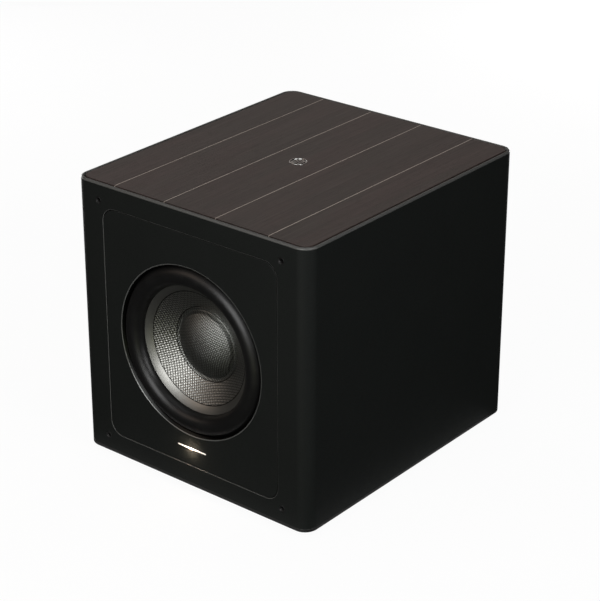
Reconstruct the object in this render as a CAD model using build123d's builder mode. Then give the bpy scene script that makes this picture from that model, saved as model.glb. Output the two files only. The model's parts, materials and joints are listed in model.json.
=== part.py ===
from build123d import *
import math
import os

# Active subwoofer: a leather-wrapped cabinet with a wooden lid, a long-throw driver and a plate amplifier.
# Frame: millimetres, +Z up, +X to the cabinet's right as seen from the front, front face towards -Y.
# The origin is on the floor, under the centre of the cabinet.

# ---------------------------------------------------------------- driving dimensions
WIDTH = 420.0
DEPTH = 476.0
HEIGHT = 425.0
FOOT_HEIGHT = 12.0
CORNER_RADIUS = 21.0
LEATHER = 1.2
WALL = 22.0
BAFFLE = 36.0
BASE_THICKNESS = 6.0
PLANK_THICKNESS = 4.0
LINE_FIT = 0.1  # clearance all round where one piece drops into another

BOTTOM = FOOT_HEIGHT
TOP = BOTTOM + HEIGHT
FRONT = -DEPTH / 2
BACK = DEPTH / 2
AXIS_Z = BOTTOM + HEIGHT / 2  # height of the driver axis
WALL_BOTTOM = BOTTOM + BASE_THICKNESS
WALL_TOP = TOP - PLANK_THICKNESS
WALL_HEIGHT = WALL_TOP - WALL_BOTTOM

# carcass, in plan
SHELL_X = WIDTH / 2 - LEATHER
SHELL_Y = DEPTH / 2 - LEATHER
ROOM_X = SHELL_X - WALL
ROOM_FRONT = -SHELL_Y + BAFFLE
ROOM_BACK = SHELL_Y - WALL
ROOM_DEPTH = ROOM_BACK - ROOM_FRONT
ROOM_MID_Y = (ROOM_BACK + ROOM_FRONT) / 2

# top
TRIM_WIDTH = 6.0
TRIM_GAP = 1.2
TRIM_ROUND = 2.6
TRIM_LIP = 3.0
INLAY_WIDTH = 1.1
INLAY_PITCH = 92.5
INLAY_COUNT = 4
LID_WIDTH = WIDTH - 2 * (TRIM_WIDTH + TRIM_GAP)
LID_DEPTH = DEPTH - 2 * (TRIM_WIDTH + TRIM_GAP)
LID_RADIUS = CORNER_RADIUS - TRIM_WIDTH - TRIM_GAP
BADGE_RADIUS = 13.0
BADGE_RING = 1.4
BADGE_DEPTH = 2.0

# front insert and the grille sockets round it
INSERT_WIDTH = 314.0
INSERT_HEIGHT = 356.0
INSERT_RADIUS = 22.0
INSERT_DEPTH = 11.2
INSERT_GAP = 0.9
SOCKET_X = 165.0
SOCKET_Z = 186.0
SOCKET_RADIUS = 5.0
SOCKET_BORE = 3.2
SOCKET_DEPTH = 14.0
DOWEL_RADIUS = 4.0
DOWEL_X = 138.0
DOWEL_Z = 140.0

# status light, under the driver
LIGHT_WIDTH = 52.5
LIGHT_HEIGHT = 2.0
LIGHT_Z = -151.0

# driver, radius and depth behind the front face
BEZEL_RADIUS = 130.5
BEZEL_BORE = 126.0
BEZEL_FLARE = 130.0
BEZEL_DEPTH = 8.4
LAND_RADIUS = 129.5
LAND_FRONT = 8.5
ROLL_MID = 111.5
ROLL_DEPTH = 11.8
ROLL_RADIUS = 15.3
ROLL_SKIN = 2.2
ROLL_CREST = ROLL_DEPTH - ROLL_RADIUS
RING_OUTER = 96.15
RING_INNER = 85.6
RING_DEPTH = 12.0
CONE_SLOPE = 0.594
NECK_RADIUS = 32.2
FLANGE_RADIUS = 141.0
FLANGE_FRONT = 11.5
FLANGE_THICKNESS = 4.5
GASKET = 1.2
DRIVER_HOLE = 119.5
SCREW_CIRCLE = 135.2
SCREW_COUNT = 8
COIL_RADIUS = 31.3
POLE_RADIUS = 30.5
SPIDER_DEPTH = 64.0
BASKET_REAR = 95.0
PLATE_THICKNESS = 10.0
MAGNET_THICKNESS = 20.0
YOKE_THICKNESS = 12.0
MAGNET_FRONT = BASKET_REAR + PLATE_THICKNESS
YOKE_FRONT = MAGNET_FRONT + 2 * MAGNET_THICKNESS
YOKE_REAR = YOKE_FRONT + YOKE_THICKNESS

# plate amplifier, a tray on the back; positions on it are from its centre, x to the right seen from behind
AMP_PROUD = -ROLL_CREST  # as proud as the surround is in front, so that the overall depth is centred
AMP_WIDTH = 240.0
AMP_HEIGHT = 300.0
AMP_RADIUS = 8.0
AMP_GASKET = 0.7
AMP_PLATE = AMP_PROUD - AMP_GASKET
AMP_FACE = 14.0  # depth of the control face inside the cabinet's back
AMP_BORDER = 12.0
AMP_OPENING = (AMP_WIDTH - 2 * AMP_BORDER, AMP_HEIGHT - 2 * AMP_BORDER)
TRAY_WIDTH = 200.0
TRAY_HEIGHT = 258.0
TRAY_WALL = 2.5
TRAY_RADIUS = 12.0
FIN_COUNT = 21
FIN_PITCH = 9.0
FIN_THICKNESS = 2.4
FIN_LENGTH = 100.0
FIN_HEIGHT = 14.0
FIN_Z = -15.0
KNOB_X = 55.0
KNOB_Z = 102.0
KNOB_RADIUS = 11.0
KNOB_HEIGHT = 13.0
KNOB_CLEAR = 1.5
KNOB_FLUTES = 24
BUSHING_RADIUS = 3.5
INPUT_Z = 62.0
JACKS = [(-68.0, INPUT_Z), (-42.0, INPUT_Z)]
JACK_RADIUS = 6.0
JACK_BARREL = 4.15
JACK_SOCKET = 1.7
JACK_LENGTH = 8.0
SLIDE_X = 55.0
SLIDE_TRAVEL = 4.0
SLIDE_SLOT = 10.2
SLIDER_WIDTH = 5.6
SLIDER_HEIGHT = 4.8
MAINS_Z = -98.0
ROCKER_X = -55.0
ROCKER_WIDTH = 19.0
ROCKER_HEIGHT = 28.0
ROCKER_TILT = 10.0
PIVOT_DEPTH = 5.0
PIVOT_RADIUS = 1.5
INLET_X = 50.0
INLET_WIDTH = 27.0
INLET_HEIGHT = 36.0
DRAWER_WIDTH = 21.0
DRAWER_HEIGHT = 8.6
PIN_SIZE = (2.0, 4.0)

# feet
FEET_X = 158.0
FEET_Y = 186.0
FOOT_RADIUS = 20.0


def facing_front(depth=0.0):
    """Plane parallel to the front face, on the driver axis, with its normal pointing out of the cabinet."""
    return Plane(origin=(0, FRONT + depth, AXIS_Z), x_dir=(1, 0, 0), z_dir=(0, -1, 0))


def facing_back(depth=0.0):
    """Plane parallel to the back face, on the amplifier's centre, with its normal out of the cabinet."""
    return Plane(origin=(0, BACK - depth, AXIS_Z), x_dir=(-1, 0, 0), z_dir=(0, 1, 0))


def on_amp(depth=0.0):
    """Plane parallel to the amplifier's control face, this deep behind it."""
    return facing_back(AMP_FACE + depth)


def rocker_plane(tilt):
    """Section plane of the power rocker at its pivot: local y points out of the cabinet, tilted upwards."""
    lean = math.radians(tilt)
    origin = (-ROCKER_X, BACK - AMP_FACE - PIVOT_DEPTH, AXIS_Z + MAINS_Z)
    return Plane(origin=origin, x_dir=(0, -math.sin(lean), math.cos(lean)), z_dir=(-1, 0, 0))


DRIVER_SECTION = Plane(origin=(0, FRONT, AXIS_Z), x_dir=(1, 0, 0), z_dir=(0, 0, 1))
DRIVER_AXIS = Axis((0, FRONT, AXIS_Z), (0, 1, 0))


def turned(points):
    """A ring or disc turned round the driver axis from a closed section of (radius, depth) points."""
    with BuildPart() as ring:
        with BuildSketch(DRIVER_SECTION):
            with BuildLine():
                Polyline(*points, close=True)
            make_face()
        revolve(axis=DRIVER_AXIS)
    return ring


def washer_points(inner, outer, front, rear):
    return [(inner, front), (outer, front), (outer, rear), (inner, rear)]


def plan_outline(inset, radius):
    """Rounded rectangle of the cabinet in plan, moved in from its outer faces."""
    with BuildSketch() as outline:
        RectangleRounded(WIDTH - 2 * inset, DEPTH - 2 * inset, radius)
    return outline.sketch


def on_roll(radius, depth, side):
    """Section point of the surround's half roll at this depth, on its outer side for 1, inner for -1."""
    return (ROLL_MID + side * math.sqrt(radius**2 - (ROLL_DEPTH - depth) ** 2), depth)


def on_cone(radius, behind=0.0):
    """Section point of the cone's front surface this far from the axis, or this deep behind it."""
    return (radius, RING_DEPTH + CONE_SLOPE * (RING_OUTER - radius) + behind)


def on_circle(radius, count, start_angle):
    """Points spread evenly round a circle."""
    angles = [math.radians(start_angle + 360 * index / count) for index in range(count)]
    return [(radius * math.cos(angle), radius * math.sin(angle)) for angle in angles]


BASKET_SCREWS = on_circle(SCREW_CIRCLE, SCREW_COUNT, start_angle=22.5)
AMP_SCREW_X = (AMP_WIDTH - AMP_BORDER) / 2
AMP_SCREW_Z = (AMP_HEIGHT - AMP_BORDER) / 2
AMP_SCREWS = [(x, z) for x in (-AMP_SCREW_X, AMP_SCREW_X) for z in (-AMP_SCREW_Z, 0, AMP_SCREW_Z)]
AMP_SCREWS += [(0, -AMP_SCREW_Z), (0, AMP_SCREW_Z)]


# ---------------------------------------------------------------- carcass
def wall_outline(corners):
    """Plan of one wall: the part of the carcass ring inside the mitre lines through these corners."""
    with BuildSketch() as outline:
        add(plan_outline(LEATHER, CORNER_RADIUS - LEATHER))
        with Locations((0, ROOM_MID_Y)):
            Rectangle(2 * ROOM_X, ROOM_DEPTH, mode=Mode.SUBTRACT)
        with BuildLine():
            Polyline(*corners, close=True)
        make_face(mode=Mode.INTERSECT)
    return outline.sketch


FRONT_LEFT = [(-SHELL_X, -SHELL_Y), (-ROOM_X, ROOM_FRONT)]
FRONT_RIGHT = [(SHELL_X, -SHELL_Y), (ROOM_X, ROOM_FRONT)]
BACK_LEFT = [(-SHELL_X, SHELL_Y), (-ROOM_X, ROOM_BACK)]
BACK_RIGHT = [(SHELL_X, SHELL_Y), (ROOM_X, ROOM_BACK)]

with BuildPart() as left_wall:
    with BuildSketch(Plane.XY.offset(WALL_BOTTOM)):
        add(wall_outline([*FRONT_LEFT, BACK_LEFT[1], BACK_LEFT[0]]))
    extrude(amount=WALL_HEIGHT)

with BuildPart() as right_wall:
    with BuildSketch(Plane.XY.offset(WALL_BOTTOM)):
        add(wall_outline([*FRONT_RIGHT, BACK_RIGHT[1], BACK_RIGHT[0]]))
    extrude(amount=WALL_HEIGHT)

with BuildPart() as back_wall:
    with BuildSketch(Plane.XY.offset(WALL_BOTTOM)):
        add(wall_outline([*BACK_LEFT, BACK_RIGHT[1], BACK_RIGHT[0]]))
    extrude(amount=WALL_HEIGHT)
    with BuildSketch(facing_back()):
        RectangleRounded(*AMP_OPENING, AMP_RADIUS)
    extrude(amount=-2 * WALL, mode=Mode.SUBTRACT)
    with BuildSketch(facing_back()):
        with Locations(*AMP_SCREWS):
            Circle(1.75)
    extrude(amount=-19, mode=Mode.SUBTRACT)

SOCKET_SPOTS = (2 * SOCKET_X, 2 * SOCKET_Z, 2, 2)
DOWEL_SPOTS = (2 * DOWEL_X, 2 * DOWEL_Z, 2, 2)
LIGHT_POCKET = (LIGHT_WIDTH + 16, 14.0)
LIGHT_POCKET_DEPTH = 8.0

with BuildPart() as front_baffle:
    with BuildSketch(Plane.XY.offset(WALL_BOTTOM)):
        add(wall_outline([*FRONT_LEFT, FRONT_RIGHT[1], FRONT_RIGHT[0]]))
    extrude(amount=WALL_HEIGHT)
    with BuildSketch(facing_front()):
        RectangleRounded(INSERT_WIDTH + 2 * INSERT_GAP, INSERT_HEIGHT + 2 * INSERT_GAP, INSERT_RADIUS)
    extrude(amount=-INSERT_DEPTH, mode=Mode.SUBTRACT)
    with BuildSketch(facing_front(INSERT_DEPTH)):
        Circle(FLANGE_RADIUS + 0.5)
    extrude(amount=-(FLANGE_FRONT + FLANGE_THICKNESS + GASKET - INSERT_DEPTH), mode=Mode.SUBTRACT)
    with BuildSketch(facing_front(INSERT_DEPTH)):
        Circle(DRIVER_HOLE)
    extrude(amount=-BAFFLE, mode=Mode.SUBTRACT)
    with BuildSketch(facing_front(FLANGE_FRONT)):
        with Locations(*BASKET_SCREWS):
            Circle(2.5)
    extrude(amount=-21, mode=Mode.SUBTRACT)
    with BuildSketch(facing_front(LEATHER)):
        with GridLocations(*SOCKET_SPOTS):
            Circle(SOCKET_RADIUS + LINE_FIT)
    extrude(amount=-SOCKET_DEPTH, mode=Mode.SUBTRACT)
    with BuildSketch(facing_front(INSERT_DEPTH)):
        with GridLocations(*DOWEL_SPOTS):
            Circle(DOWEL_RADIUS)
    extrude(amount=-10, mode=Mode.SUBTRACT)
    with BuildSketch(facing_front(INSERT_DEPTH)):
        with Locations((0, LIGHT_Z)):
            Rectangle(*LIGHT_POCKET)
    extrude(amount=-LIGHT_POCKET_DEPTH, mode=Mode.SUBTRACT)
    with BuildSketch(facing_front(INSERT_DEPTH)):
        with Locations((0, LIGHT_Z)):
            Circle(4)
    extrude(amount=-BAFFLE, mode=Mode.SUBTRACT)

BOARD = 22.0
with BuildPart() as bottom_board:
    with BuildSketch(Plane.XY.offset(WALL_BOTTOM)):
        with Locations((0, ROOM_MID_Y)):
            Rectangle(2 * ROOM_X, ROOM_DEPTH)
        with GridLocations(2 * FEET_X, 2 * FEET_Y, 2, 2):
            Circle(2.5, mode=Mode.SUBTRACT)
    extrude(amount=BOARD)

with BuildPart() as top_board:
    with BuildSketch(Plane.XY.offset(WALL_TOP - BOARD)):
        with Locations((0, ROOM_MID_Y)):
            Rectangle(2 * ROOM_X, ROOM_DEPTH)
    extrude(amount=BOARD)

BRACE = 18.0
BRACE_Y = 30.0
BRACE_BAR = 34.0
ROOM_BOTTOM = WALL_BOTTOM + BOARD
ROOM_HEIGHT = WALL_HEIGHT - 2 * BOARD
ROOM_MIDDLE = ROOM_BOTTOM + ROOM_HEIGHT / 2
BRACE_PLANE = Plane(origin=(0, BRACE_Y, ROOM_MIDDLE), x_dir=(1, 0, 0), z_dir=(0, -1, 0))
with BuildPart() as window_brace:
    with BuildSketch(BRACE_PLANE):
        Rectangle(2 * ROOM_X, ROOM_HEIGHT)
        window_x = (2 * ROOM_X - 3 * BRACE_BAR) / 2
        window_z = (ROOM_HEIGHT - 3 * BRACE_BAR) / 2
        with GridLocations(window_x + BRACE_BAR, window_z + BRACE_BAR, 2, 2):
            RectangleRounded(window_x, window_z, 24, mode=Mode.SUBTRACT)
    extrude(amount=BRACE / 2, both=True)

WADDING = 26.0
WADDING_GAP = 1.0
with BuildPart() as acoustic_wadding:
    side_y = (BRACE_Y + BRACE + ROOM_BACK) / 2
    side_depth = ROOM_BACK - BRACE_Y - BRACE - 12
    with BuildSketch(Plane.XY.offset(ROOM_BOTTOM + 8)):
        with GridLocations(2 * ROOM_X - WADDING - 2 * WADDING_GAP, 0, 2, 1):
            with Locations((0, side_y)):
                RectangleRounded(WADDING, side_depth, 9)
    extrude(amount=ROOM_HEIGHT - 16)
    fillet(acoustic_wadding.edges().filter_by(Plane.XY), 8)

# ---------------------------------------------------------------- leather, trim and base
with BuildPart() as cabinet_leather:
    with BuildSketch(Plane.XY.offset(WALL_BOTTOM)):
        add(plan_outline(0, CORNER_RADIUS))
        add(plan_outline(LEATHER, CORNER_RADIUS - LEATHER), mode=Mode.SUBTRACT)
    extrude(amount=TOP - TRIM_LIP - WALL_BOTTOM)
    with BuildSketch(facing_front()):
        RectangleRounded(INSERT_WIDTH + 2 * INSERT_GAP, INSERT_HEIGHT + 2 * INSERT_GAP, INSERT_RADIUS)
        with GridLocations(*SOCKET_SPOTS):
            Circle(SOCKET_RADIUS + LINE_FIT)
    extrude(amount=-2 * LEATHER, mode=Mode.SUBTRACT)
    with BuildSketch(facing_back()):
        RectangleRounded(*AMP_OPENING, AMP_RADIUS)
        with Locations(*AMP_SCREWS):
            Circle(1.9)
    extrude(amount=-2 * LEATHER, mode=Mode.SUBTRACT)

with BuildPart() as top_trim:
    with BuildSketch(Plane.XY.offset(WALL_TOP)):
        add(plan_outline(0, CORNER_RADIUS))
        add(plan_outline(TRIM_WIDTH, CORNER_RADIUS - TRIM_WIDTH), mode=Mode.SUBTRACT)
    extrude(amount=PLANK_THICKNESS)
    with BuildSketch(Plane.XY.offset(WALL_TOP)):
        add(plan_outline(0, CORNER_RADIUS))
        add(plan_outline(LEATHER, CORNER_RADIUS - LEATHER), mode=Mode.SUBTRACT)
    extrude(amount=PLANK_THICKNESS - TRIM_LIP, mode=Mode.SUBTRACT)
    top_rim = top_trim.faces().sort_by(Axis.Z)[-1].outer_wire()
    fillet(top_rim.edges(), TRIM_ROUND)

with BuildPart() as base_plate:
    with BuildSketch(Plane.XY.offset(BOTTOM)):
        add(plan_outline(0, CORNER_RADIUS))
        with GridLocations(2 * FEET_X, 2 * FEET_Y, 2, 2):
            Circle(2.7, mode=Mode.SUBTRACT)
    extrude(amount=BASE_THICKNESS)
    fillet(base_plate.faces().sort_by(Axis.Z)[0].outer_wire().edges(), 2.5)
    fillet(base_plate.faces().sort_by(Axis.Z)[-1].outer_wire().edges(), 0.6)

with BuildPart() as lid_planks:
    with BuildSketch(Plane.XY.offset(WALL_TOP)):
        RectangleRounded(LID_WIDTH, LID_DEPTH, LID_RADIUS)
        with GridLocations(INLAY_PITCH, 0, INLAY_COUNT, 1):
            Rectangle(INLAY_WIDTH, LID_DEPTH, mode=Mode.SUBTRACT)
    extrude(amount=PLANK_THICKNESS)
    with BuildSketch(Plane.XY.offset(TOP)):
        Circle(BADGE_RADIUS + LINE_FIT)
    extrude(amount=-BADGE_DEPTH, mode=Mode.SUBTRACT)

with BuildPart() as maple_inlays:
    with BuildSketch(Plane.XY.offset(WALL_TOP)):
        with GridLocations(INLAY_PITCH, 0, INLAY_COUNT, 1):
            Rectangle(INLAY_WIDTH, LID_DEPTH)
    extrude(amount=PLANK_THICKNESS)

with BuildPart() as badge_ring:
    with BuildSketch(Plane.XY.offset(TOP - BADGE_DEPTH)):
        Circle(BADGE_RADIUS)
        Circle(BADGE_RADIUS - BADGE_RING, mode=Mode.SUBTRACT)
    extrude(amount=BADGE_DEPTH + 0.4)
    fillet(badge_ring.faces().sort_by(Axis.Z)[-1].edges(), 0.4)

BADGE_BAR_HEIGHTS = (6.0, 11.5, 17.0, 10.0, 13.0)
BADGE_BAR_PITCH = 3.6
BADGE_BAR_WIDTH = 1.9
with BuildPart() as badge_face:
    with BuildSketch(Plane.XY.offset(TOP - BADGE_DEPTH)):
        Circle(BADGE_RADIUS - BADGE_RING - 0.05)
    extrude(amount=BADGE_DEPTH - 0.6)
    with BuildSketch(Plane.XY.offset(TOP - 0.6)):
        for index, bar in enumerate(BADGE_BAR_HEIGHTS):
            with Locations((BADGE_BAR_PITCH * (index - 2), 0)):
                SlotOverall(bar, BADGE_BAR_WIDTH, rotation=90)
    extrude(amount=0.8)

# ---------------------------------------------------------------- front insert
with BuildPart() as baffle_insert:
    with BuildSketch(facing_front(LEATHER)):
        RectangleRounded(INSERT_WIDTH - 2 * LEATHER, INSERT_HEIGHT - 2 * LEATHER, INSERT_RADIUS - LEATHER)
        Circle(BEZEL_RADIUS + LINE_FIT, mode=Mode.SUBTRACT)
        with Locations((0, LIGHT_Z)):
            SlotOverall(LIGHT_WIDTH + 2 * LINE_FIT, LIGHT_HEIGHT + 2 * LINE_FIT, mode=Mode.SUBTRACT)
    extrude(amount=-(INSERT_DEPTH - LEATHER))
    with BuildSketch(facing_front(INSERT_DEPTH)):
        with GridLocations(*DOWEL_SPOTS):
            Circle(DOWEL_RADIUS)
    extrude(amount=7, mode=Mode.SUBTRACT)

with BuildPart() as insert_leather:
    with BuildSketch(facing_front()):
        RectangleRounded(INSERT_WIDTH, INSERT_HEIGHT, INSERT_RADIUS)
        Circle(BEZEL_RADIUS + LINE_FIT, mode=Mode.SUBTRACT)
        with Locations((0, LIGHT_Z)):
            SlotOverall(LIGHT_WIDTH + 2 * LINE_FIT, LIGHT_HEIGHT + 2 * LINE_FIT, mode=Mode.SUBTRACT)
    extrude(amount=-INSERT_DEPTH)
    with BuildSketch(facing_front(LEATHER)):
        RectangleRounded(INSERT_WIDTH - 2 * LEATHER, INSERT_HEIGHT - 2 * LEATHER, INSERT_RADIUS - LEATHER)
    extrude(amount=-INSERT_DEPTH, mode=Mode.SUBTRACT)
    fillet(insert_leather.faces().sort_by(Axis.Y)[0].outer_wire().edges(), 1.0)

with BuildPart() as insert_dowels:
    with BuildSketch(facing_front(INSERT_DEPTH)):
        with GridLocations(*DOWEL_SPOTS):
            Circle(DOWEL_RADIUS - 0.05)
    extrude(amount=6.5)
    with BuildSketch(facing_front(INSERT_DEPTH)):
        with GridLocations(*DOWEL_SPOTS):
            Circle(DOWEL_RADIUS - 0.05)
    extrude(amount=-9.5)

with BuildPart() as grille_sockets:
    with BuildSketch(facing_front()):
        with GridLocations(*SOCKET_SPOTS):
            Circle(SOCKET_RADIUS)
            Circle(SOCKET_BORE, mode=Mode.SUBTRACT)
    extrude(amount=-SOCKET_DEPTH)
    with BuildSketch(facing_front(SOCKET_DEPTH)):
        with GridLocations(*SOCKET_SPOTS):
            Circle(SOCKET_RADIUS)
    extrude(amount=2.0)

with BuildPart() as status_lens:
    with BuildSketch(facing_front()):
        with Locations((0, LIGHT_Z)):
            SlotOverall(LIGHT_WIDTH, LIGHT_HEIGHT)
    extrude(amount=-INSERT_DEPTH - 1)
    with BuildSketch(facing_front(INSERT_DEPTH + 0.1)):
        with Locations((0, LIGHT_Z)):
            Rectangle(LIGHT_WIDTH + 8, 8)
    extrude(amount=-2)

with BuildPart() as status_board:
    with BuildSketch(facing_front(INSERT_DEPTH + 4.0)):
        with Locations((0, LIGHT_Z)):
            Rectangle(LIGHT_WIDTH + 12, 11)
    extrude(amount=-1.6)
    with BuildSketch(facing_front(INSERT_DEPTH + 4.0)):
        with Locations((0, LIGHT_Z)):
            with GridLocations(11, 0, 5, 1):
                Rectangle(3.5, 2.8)
    extrude(amount=1.4)

# ---------------------------------------------------------------- driver, fixed pieces
with BuildPart() as driver_bezel:
    with BuildSketch(DRIVER_SECTION):
        with BuildLine():
            Line((BEZEL_RADIUS, 0), (BEZEL_RADIUS, BEZEL_DEPTH))
            Line((BEZEL_RADIUS, BEZEL_DEPTH), (BEZEL_BORE + 1.3, BEZEL_DEPTH))
            Line((BEZEL_BORE + 1.3, BEZEL_DEPTH), (BEZEL_BORE, 4.4))
            Line((BEZEL_BORE, 4.4), (BEZEL_BORE, 3.4))
            ThreePointArc((BEZEL_BORE, 3.4), (127.8, 1.5), (BEZEL_FLARE, 0))
            Line((BEZEL_FLARE, 0), (BEZEL_RADIUS, 0))
        make_face()
    revolve(axis=DRIVER_AXIS)

LIP_INNER = 89.0
LIP_FRONT = 1.25
LIP_THICKNESS = 1.35
ROLL_HOLLOW = ROLL_RADIUS - ROLL_SKIN
with BuildPart() as surround:
    outer_foot = on_roll(ROLL_RADIUS, LAND_FRONT, side=1)
    inner_foot = on_roll(ROLL_RADIUS, RING_DEPTH + 0.4, side=-1)
    outer_root = on_roll(ROLL_HOLLOW, FLANGE_FRONT, side=1)
    inner_root = on_roll(ROLL_HOLLOW, RING_DEPTH + 1.5, side=-1)
    lip_front = on_cone(LIP_INNER, LIP_FRONT)
    lip_back = on_cone(LIP_INNER, LIP_FRONT + LIP_THICKNESS)
    with BuildSketch(DRIVER_SECTION):
        with BuildLine():
            ThreePointArc(outer_foot, (ROLL_MID, ROLL_CREST), inner_foot)
            Polyline(inner_foot, (inner_foot[0], RING_DEPTH + LIP_FRONT), lip_front, lip_back, inner_root)
            ThreePointArc(inner_root, (ROLL_MID, ROLL_CREST + ROLL_SKIN), outer_root)
            Polyline(outer_root, (LAND_RADIUS, FLANGE_FRONT), (LAND_RADIUS, LAND_FRONT), outer_foot)
        make_face()
    revolve(axis=DRIVER_AXIS)

WAVE_START = 38.0
WAVE_END = 72.0
WAVE_COUNT = 12
WAVE_RISE = 1.5
SPIDER_SKIN = 0.7
SPIDER_RADIUS = 79.0
WAVE = (WAVE_END - WAVE_START) / WAVE_COUNT
with BuildPart() as spider:
    with BuildSketch(DRIVER_SECTION):
        with BuildLine():
            for depth in (SPIDER_DEPTH, SPIDER_DEPTH + SPIDER_SKIN):
                Line((NECK_RADIUS, depth), (WAVE_START, depth))
                for index in range(WAVE_COUNT):
                    inner = WAVE_START + index * WAVE
                    rise = WAVE_RISE if index % 2 else -WAVE_RISE
                    ThreePointArc((inner, depth), (inner + WAVE / 2, depth + rise), (inner + WAVE, depth))
                Line((WAVE_END, depth), (SPIDER_RADIUS, depth))
            Line((NECK_RADIUS, SPIDER_DEPTH), (NECK_RADIUS, SPIDER_DEPTH + SPIDER_SKIN))
            Line((SPIDER_RADIUS, SPIDER_DEPTH), (SPIDER_RADIUS, SPIDER_DEPTH + SPIDER_SKIN))
        make_face()
    revolve(axis=DRIVER_AXIS)

LANDING = SPIDER_DEPTH + SPIDER_SKIN
BASKET_WALL = 4.0
WINDOWS = 8
with BuildPart() as driver_basket:
    with BuildSketch(DRIVER_SECTION):
        with BuildLine():
            Polyline(
                (113, FLANGE_FRONT),
                (FLANGE_RADIUS, FLANGE_FRONT),
                (FLANGE_RADIUS, FLANGE_FRONT + FLANGE_THICKNESS),
                (118, FLANGE_FRONT + FLANGE_THICKNESS),
                (90, LANDING + BASKET_WALL),
                (74, BASKET_REAR - 7),
                (72, BASKET_REAR),
                (36, BASKET_REAR),
                (36, BASKET_REAR - 7),
                (67, BASKET_REAR - 7),
                (74, LANDING + BASKET_WALL),
                (74, LANDING),
                (86, LANDING),
                (113, FLANGE_FRONT + FLANGE_THICKNESS),
                close=True,
            )
        make_face()
    revolve(axis=DRIVER_AXIS)
    with BuildSketch(facing_front(22)):
        with PolarLocations(100, WINDOWS):
            Rectangle(44, 52)
        Circle(82, mode=Mode.SUBTRACT)
    extrude(amount=-(LANDING - 4 - 22), mode=Mode.SUBTRACT)
    with BuildSketch(facing_front(LANDING + BASKET_WALL + 1)):
        with PolarLocations(78, WINDOWS, start_angle=22.5):
            Rectangle(26, 34)
        Circle(66, mode=Mode.SUBTRACT)
    extrude(amount=-(BASKET_REAR - 8 - LANDING - BASKET_WALL - 1), mode=Mode.SUBTRACT)
    with Locations(facing_front(FLANGE_FRONT)):
        with Locations(*BASKET_SCREWS):
            CounterSinkHole(2.75, 4.8, depth=FLANGE_THICKNESS, counter_sink_angle=90)

with BuildPart() as basket_gasket:
    with BuildSketch(facing_front(FLANGE_FRONT + FLANGE_THICKNESS)):
        Circle(FLANGE_RADIUS)
        Circle(DRIVER_HOLE, mode=Mode.SUBTRACT)
        with Locations(*BASKET_SCREWS):
            Circle(2.75, mode=Mode.SUBTRACT)
    extrude(amount=-GASKET)


def countersunk_screws(plane, spots, head, shank, length, key):
    """Countersunk screws, one at each spot, with flat heads in this plane and hexagon sockets."""
    with BuildPart() as screws:
        with BuildSketch(plane):
            with Locations(*spots):
                Circle(head)
        extrude(amount=-(head - shank), taper=45)
        with BuildSketch(plane):
            with Locations(*spots):
                Circle(shank)
        extrude(amount=-length)
        with BuildSketch(plane):
            with Locations(*spots):
                RegularPolygon(key, 6)
        extrude(amount=-0.6 * head, mode=Mode.SUBTRACT)
    return screws


basket_screws = countersunk_screws(
    facing_front(FLANGE_FRONT), BASKET_SCREWS, head=4.6, shank=2.45, length=20, key=1.7
)

top_plate = turned(washer_points(34.4, 70, BASKET_REAR, MAGNET_FRONT))

with BuildPart() as magnet_rings:
    with BuildSketch(facing_front(MAGNET_FRONT)):
        Circle(79)
        Circle(45, mode=Mode.SUBTRACT)
    extrude(amount=-MAGNET_THICKNESS + 0.05)
    with BuildSketch(facing_front(MAGNET_FRONT + MAGNET_THICKNESS)):
        Circle(79)
        Circle(45, mode=Mode.SUBTRACT)
    extrude(amount=-MAGNET_THICKNESS)

yoke = turned(
    [
        (12, BASKET_REAR - 2),
        (POLE_RADIUS - 1, BASKET_REAR - 2),
        (POLE_RADIUS, BASKET_REAR - 1),
        (POLE_RADIUS, YOKE_FRONT),
        (74, YOKE_FRONT),
        (74, YOKE_REAR - 4),
        (70, YOKE_REAR),
        (15, YOKE_REAR),
        (12, YOKE_REAR - 3),
    ]
)

# ---------------------------------------------------------------- driver, moving pieces
RING_THICKNESS = 1.15
cone_ring = turned(
    [
        on_cone(RING_OUTER),
        on_cone(RING_INNER),
        on_cone(RING_INNER, RING_THICKNESS),
        on_cone(RING_OUTER, RING_THICKNESS),
    ]
)

CONE_OUTER = RING_INNER - 0.1
CONE_SKIN = 1.3
TONGUE_OUTER = LIP_INNER - 0.2
TONGUE_BACK = LIP_FRONT + LIP_THICKNESS
NECK_BORE = COIL_RADIUS + 0.55
NECK_OUTER = NECK_BORE + 1.15
NECK_END = 57.0
cone = turned(
    [
        on_cone(CONE_OUTER),
        on_cone(NECK_RADIUS),
        (NECK_BORE, on_cone(NECK_RADIUS)[1]),
        (NECK_BORE, NECK_END),
        (NECK_OUTER, NECK_END),
        on_cone(NECK_OUTER, CONE_SKIN),
        on_cone(CONE_OUTER - 2.5, CONE_SKIN),
        on_cone(CONE_OUTER - 1.5, TONGUE_BACK),
        on_cone(TONGUE_OUTER, TONGUE_BACK),
        on_cone(TONGUE_OUTER, LIP_FRONT),
        on_cone(CONE_OUTER, LIP_FRONT),
    ]
)

CAP_SPHERE = 76.5
CAP_CENTRE = 92.5
CAP_SKIN = 0.9
CAP_KNEE = 47.6
CAP_FLANGE = 55.4
CAP_FLANGE_SKIN = 0.65


def on_cap(sphere, radius):
    """Section point of a sphere about the dust cap's centre, this far from the axis."""
    return (radius, CAP_CENTRE - math.sqrt(sphere**2 - radius**2))


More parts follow.
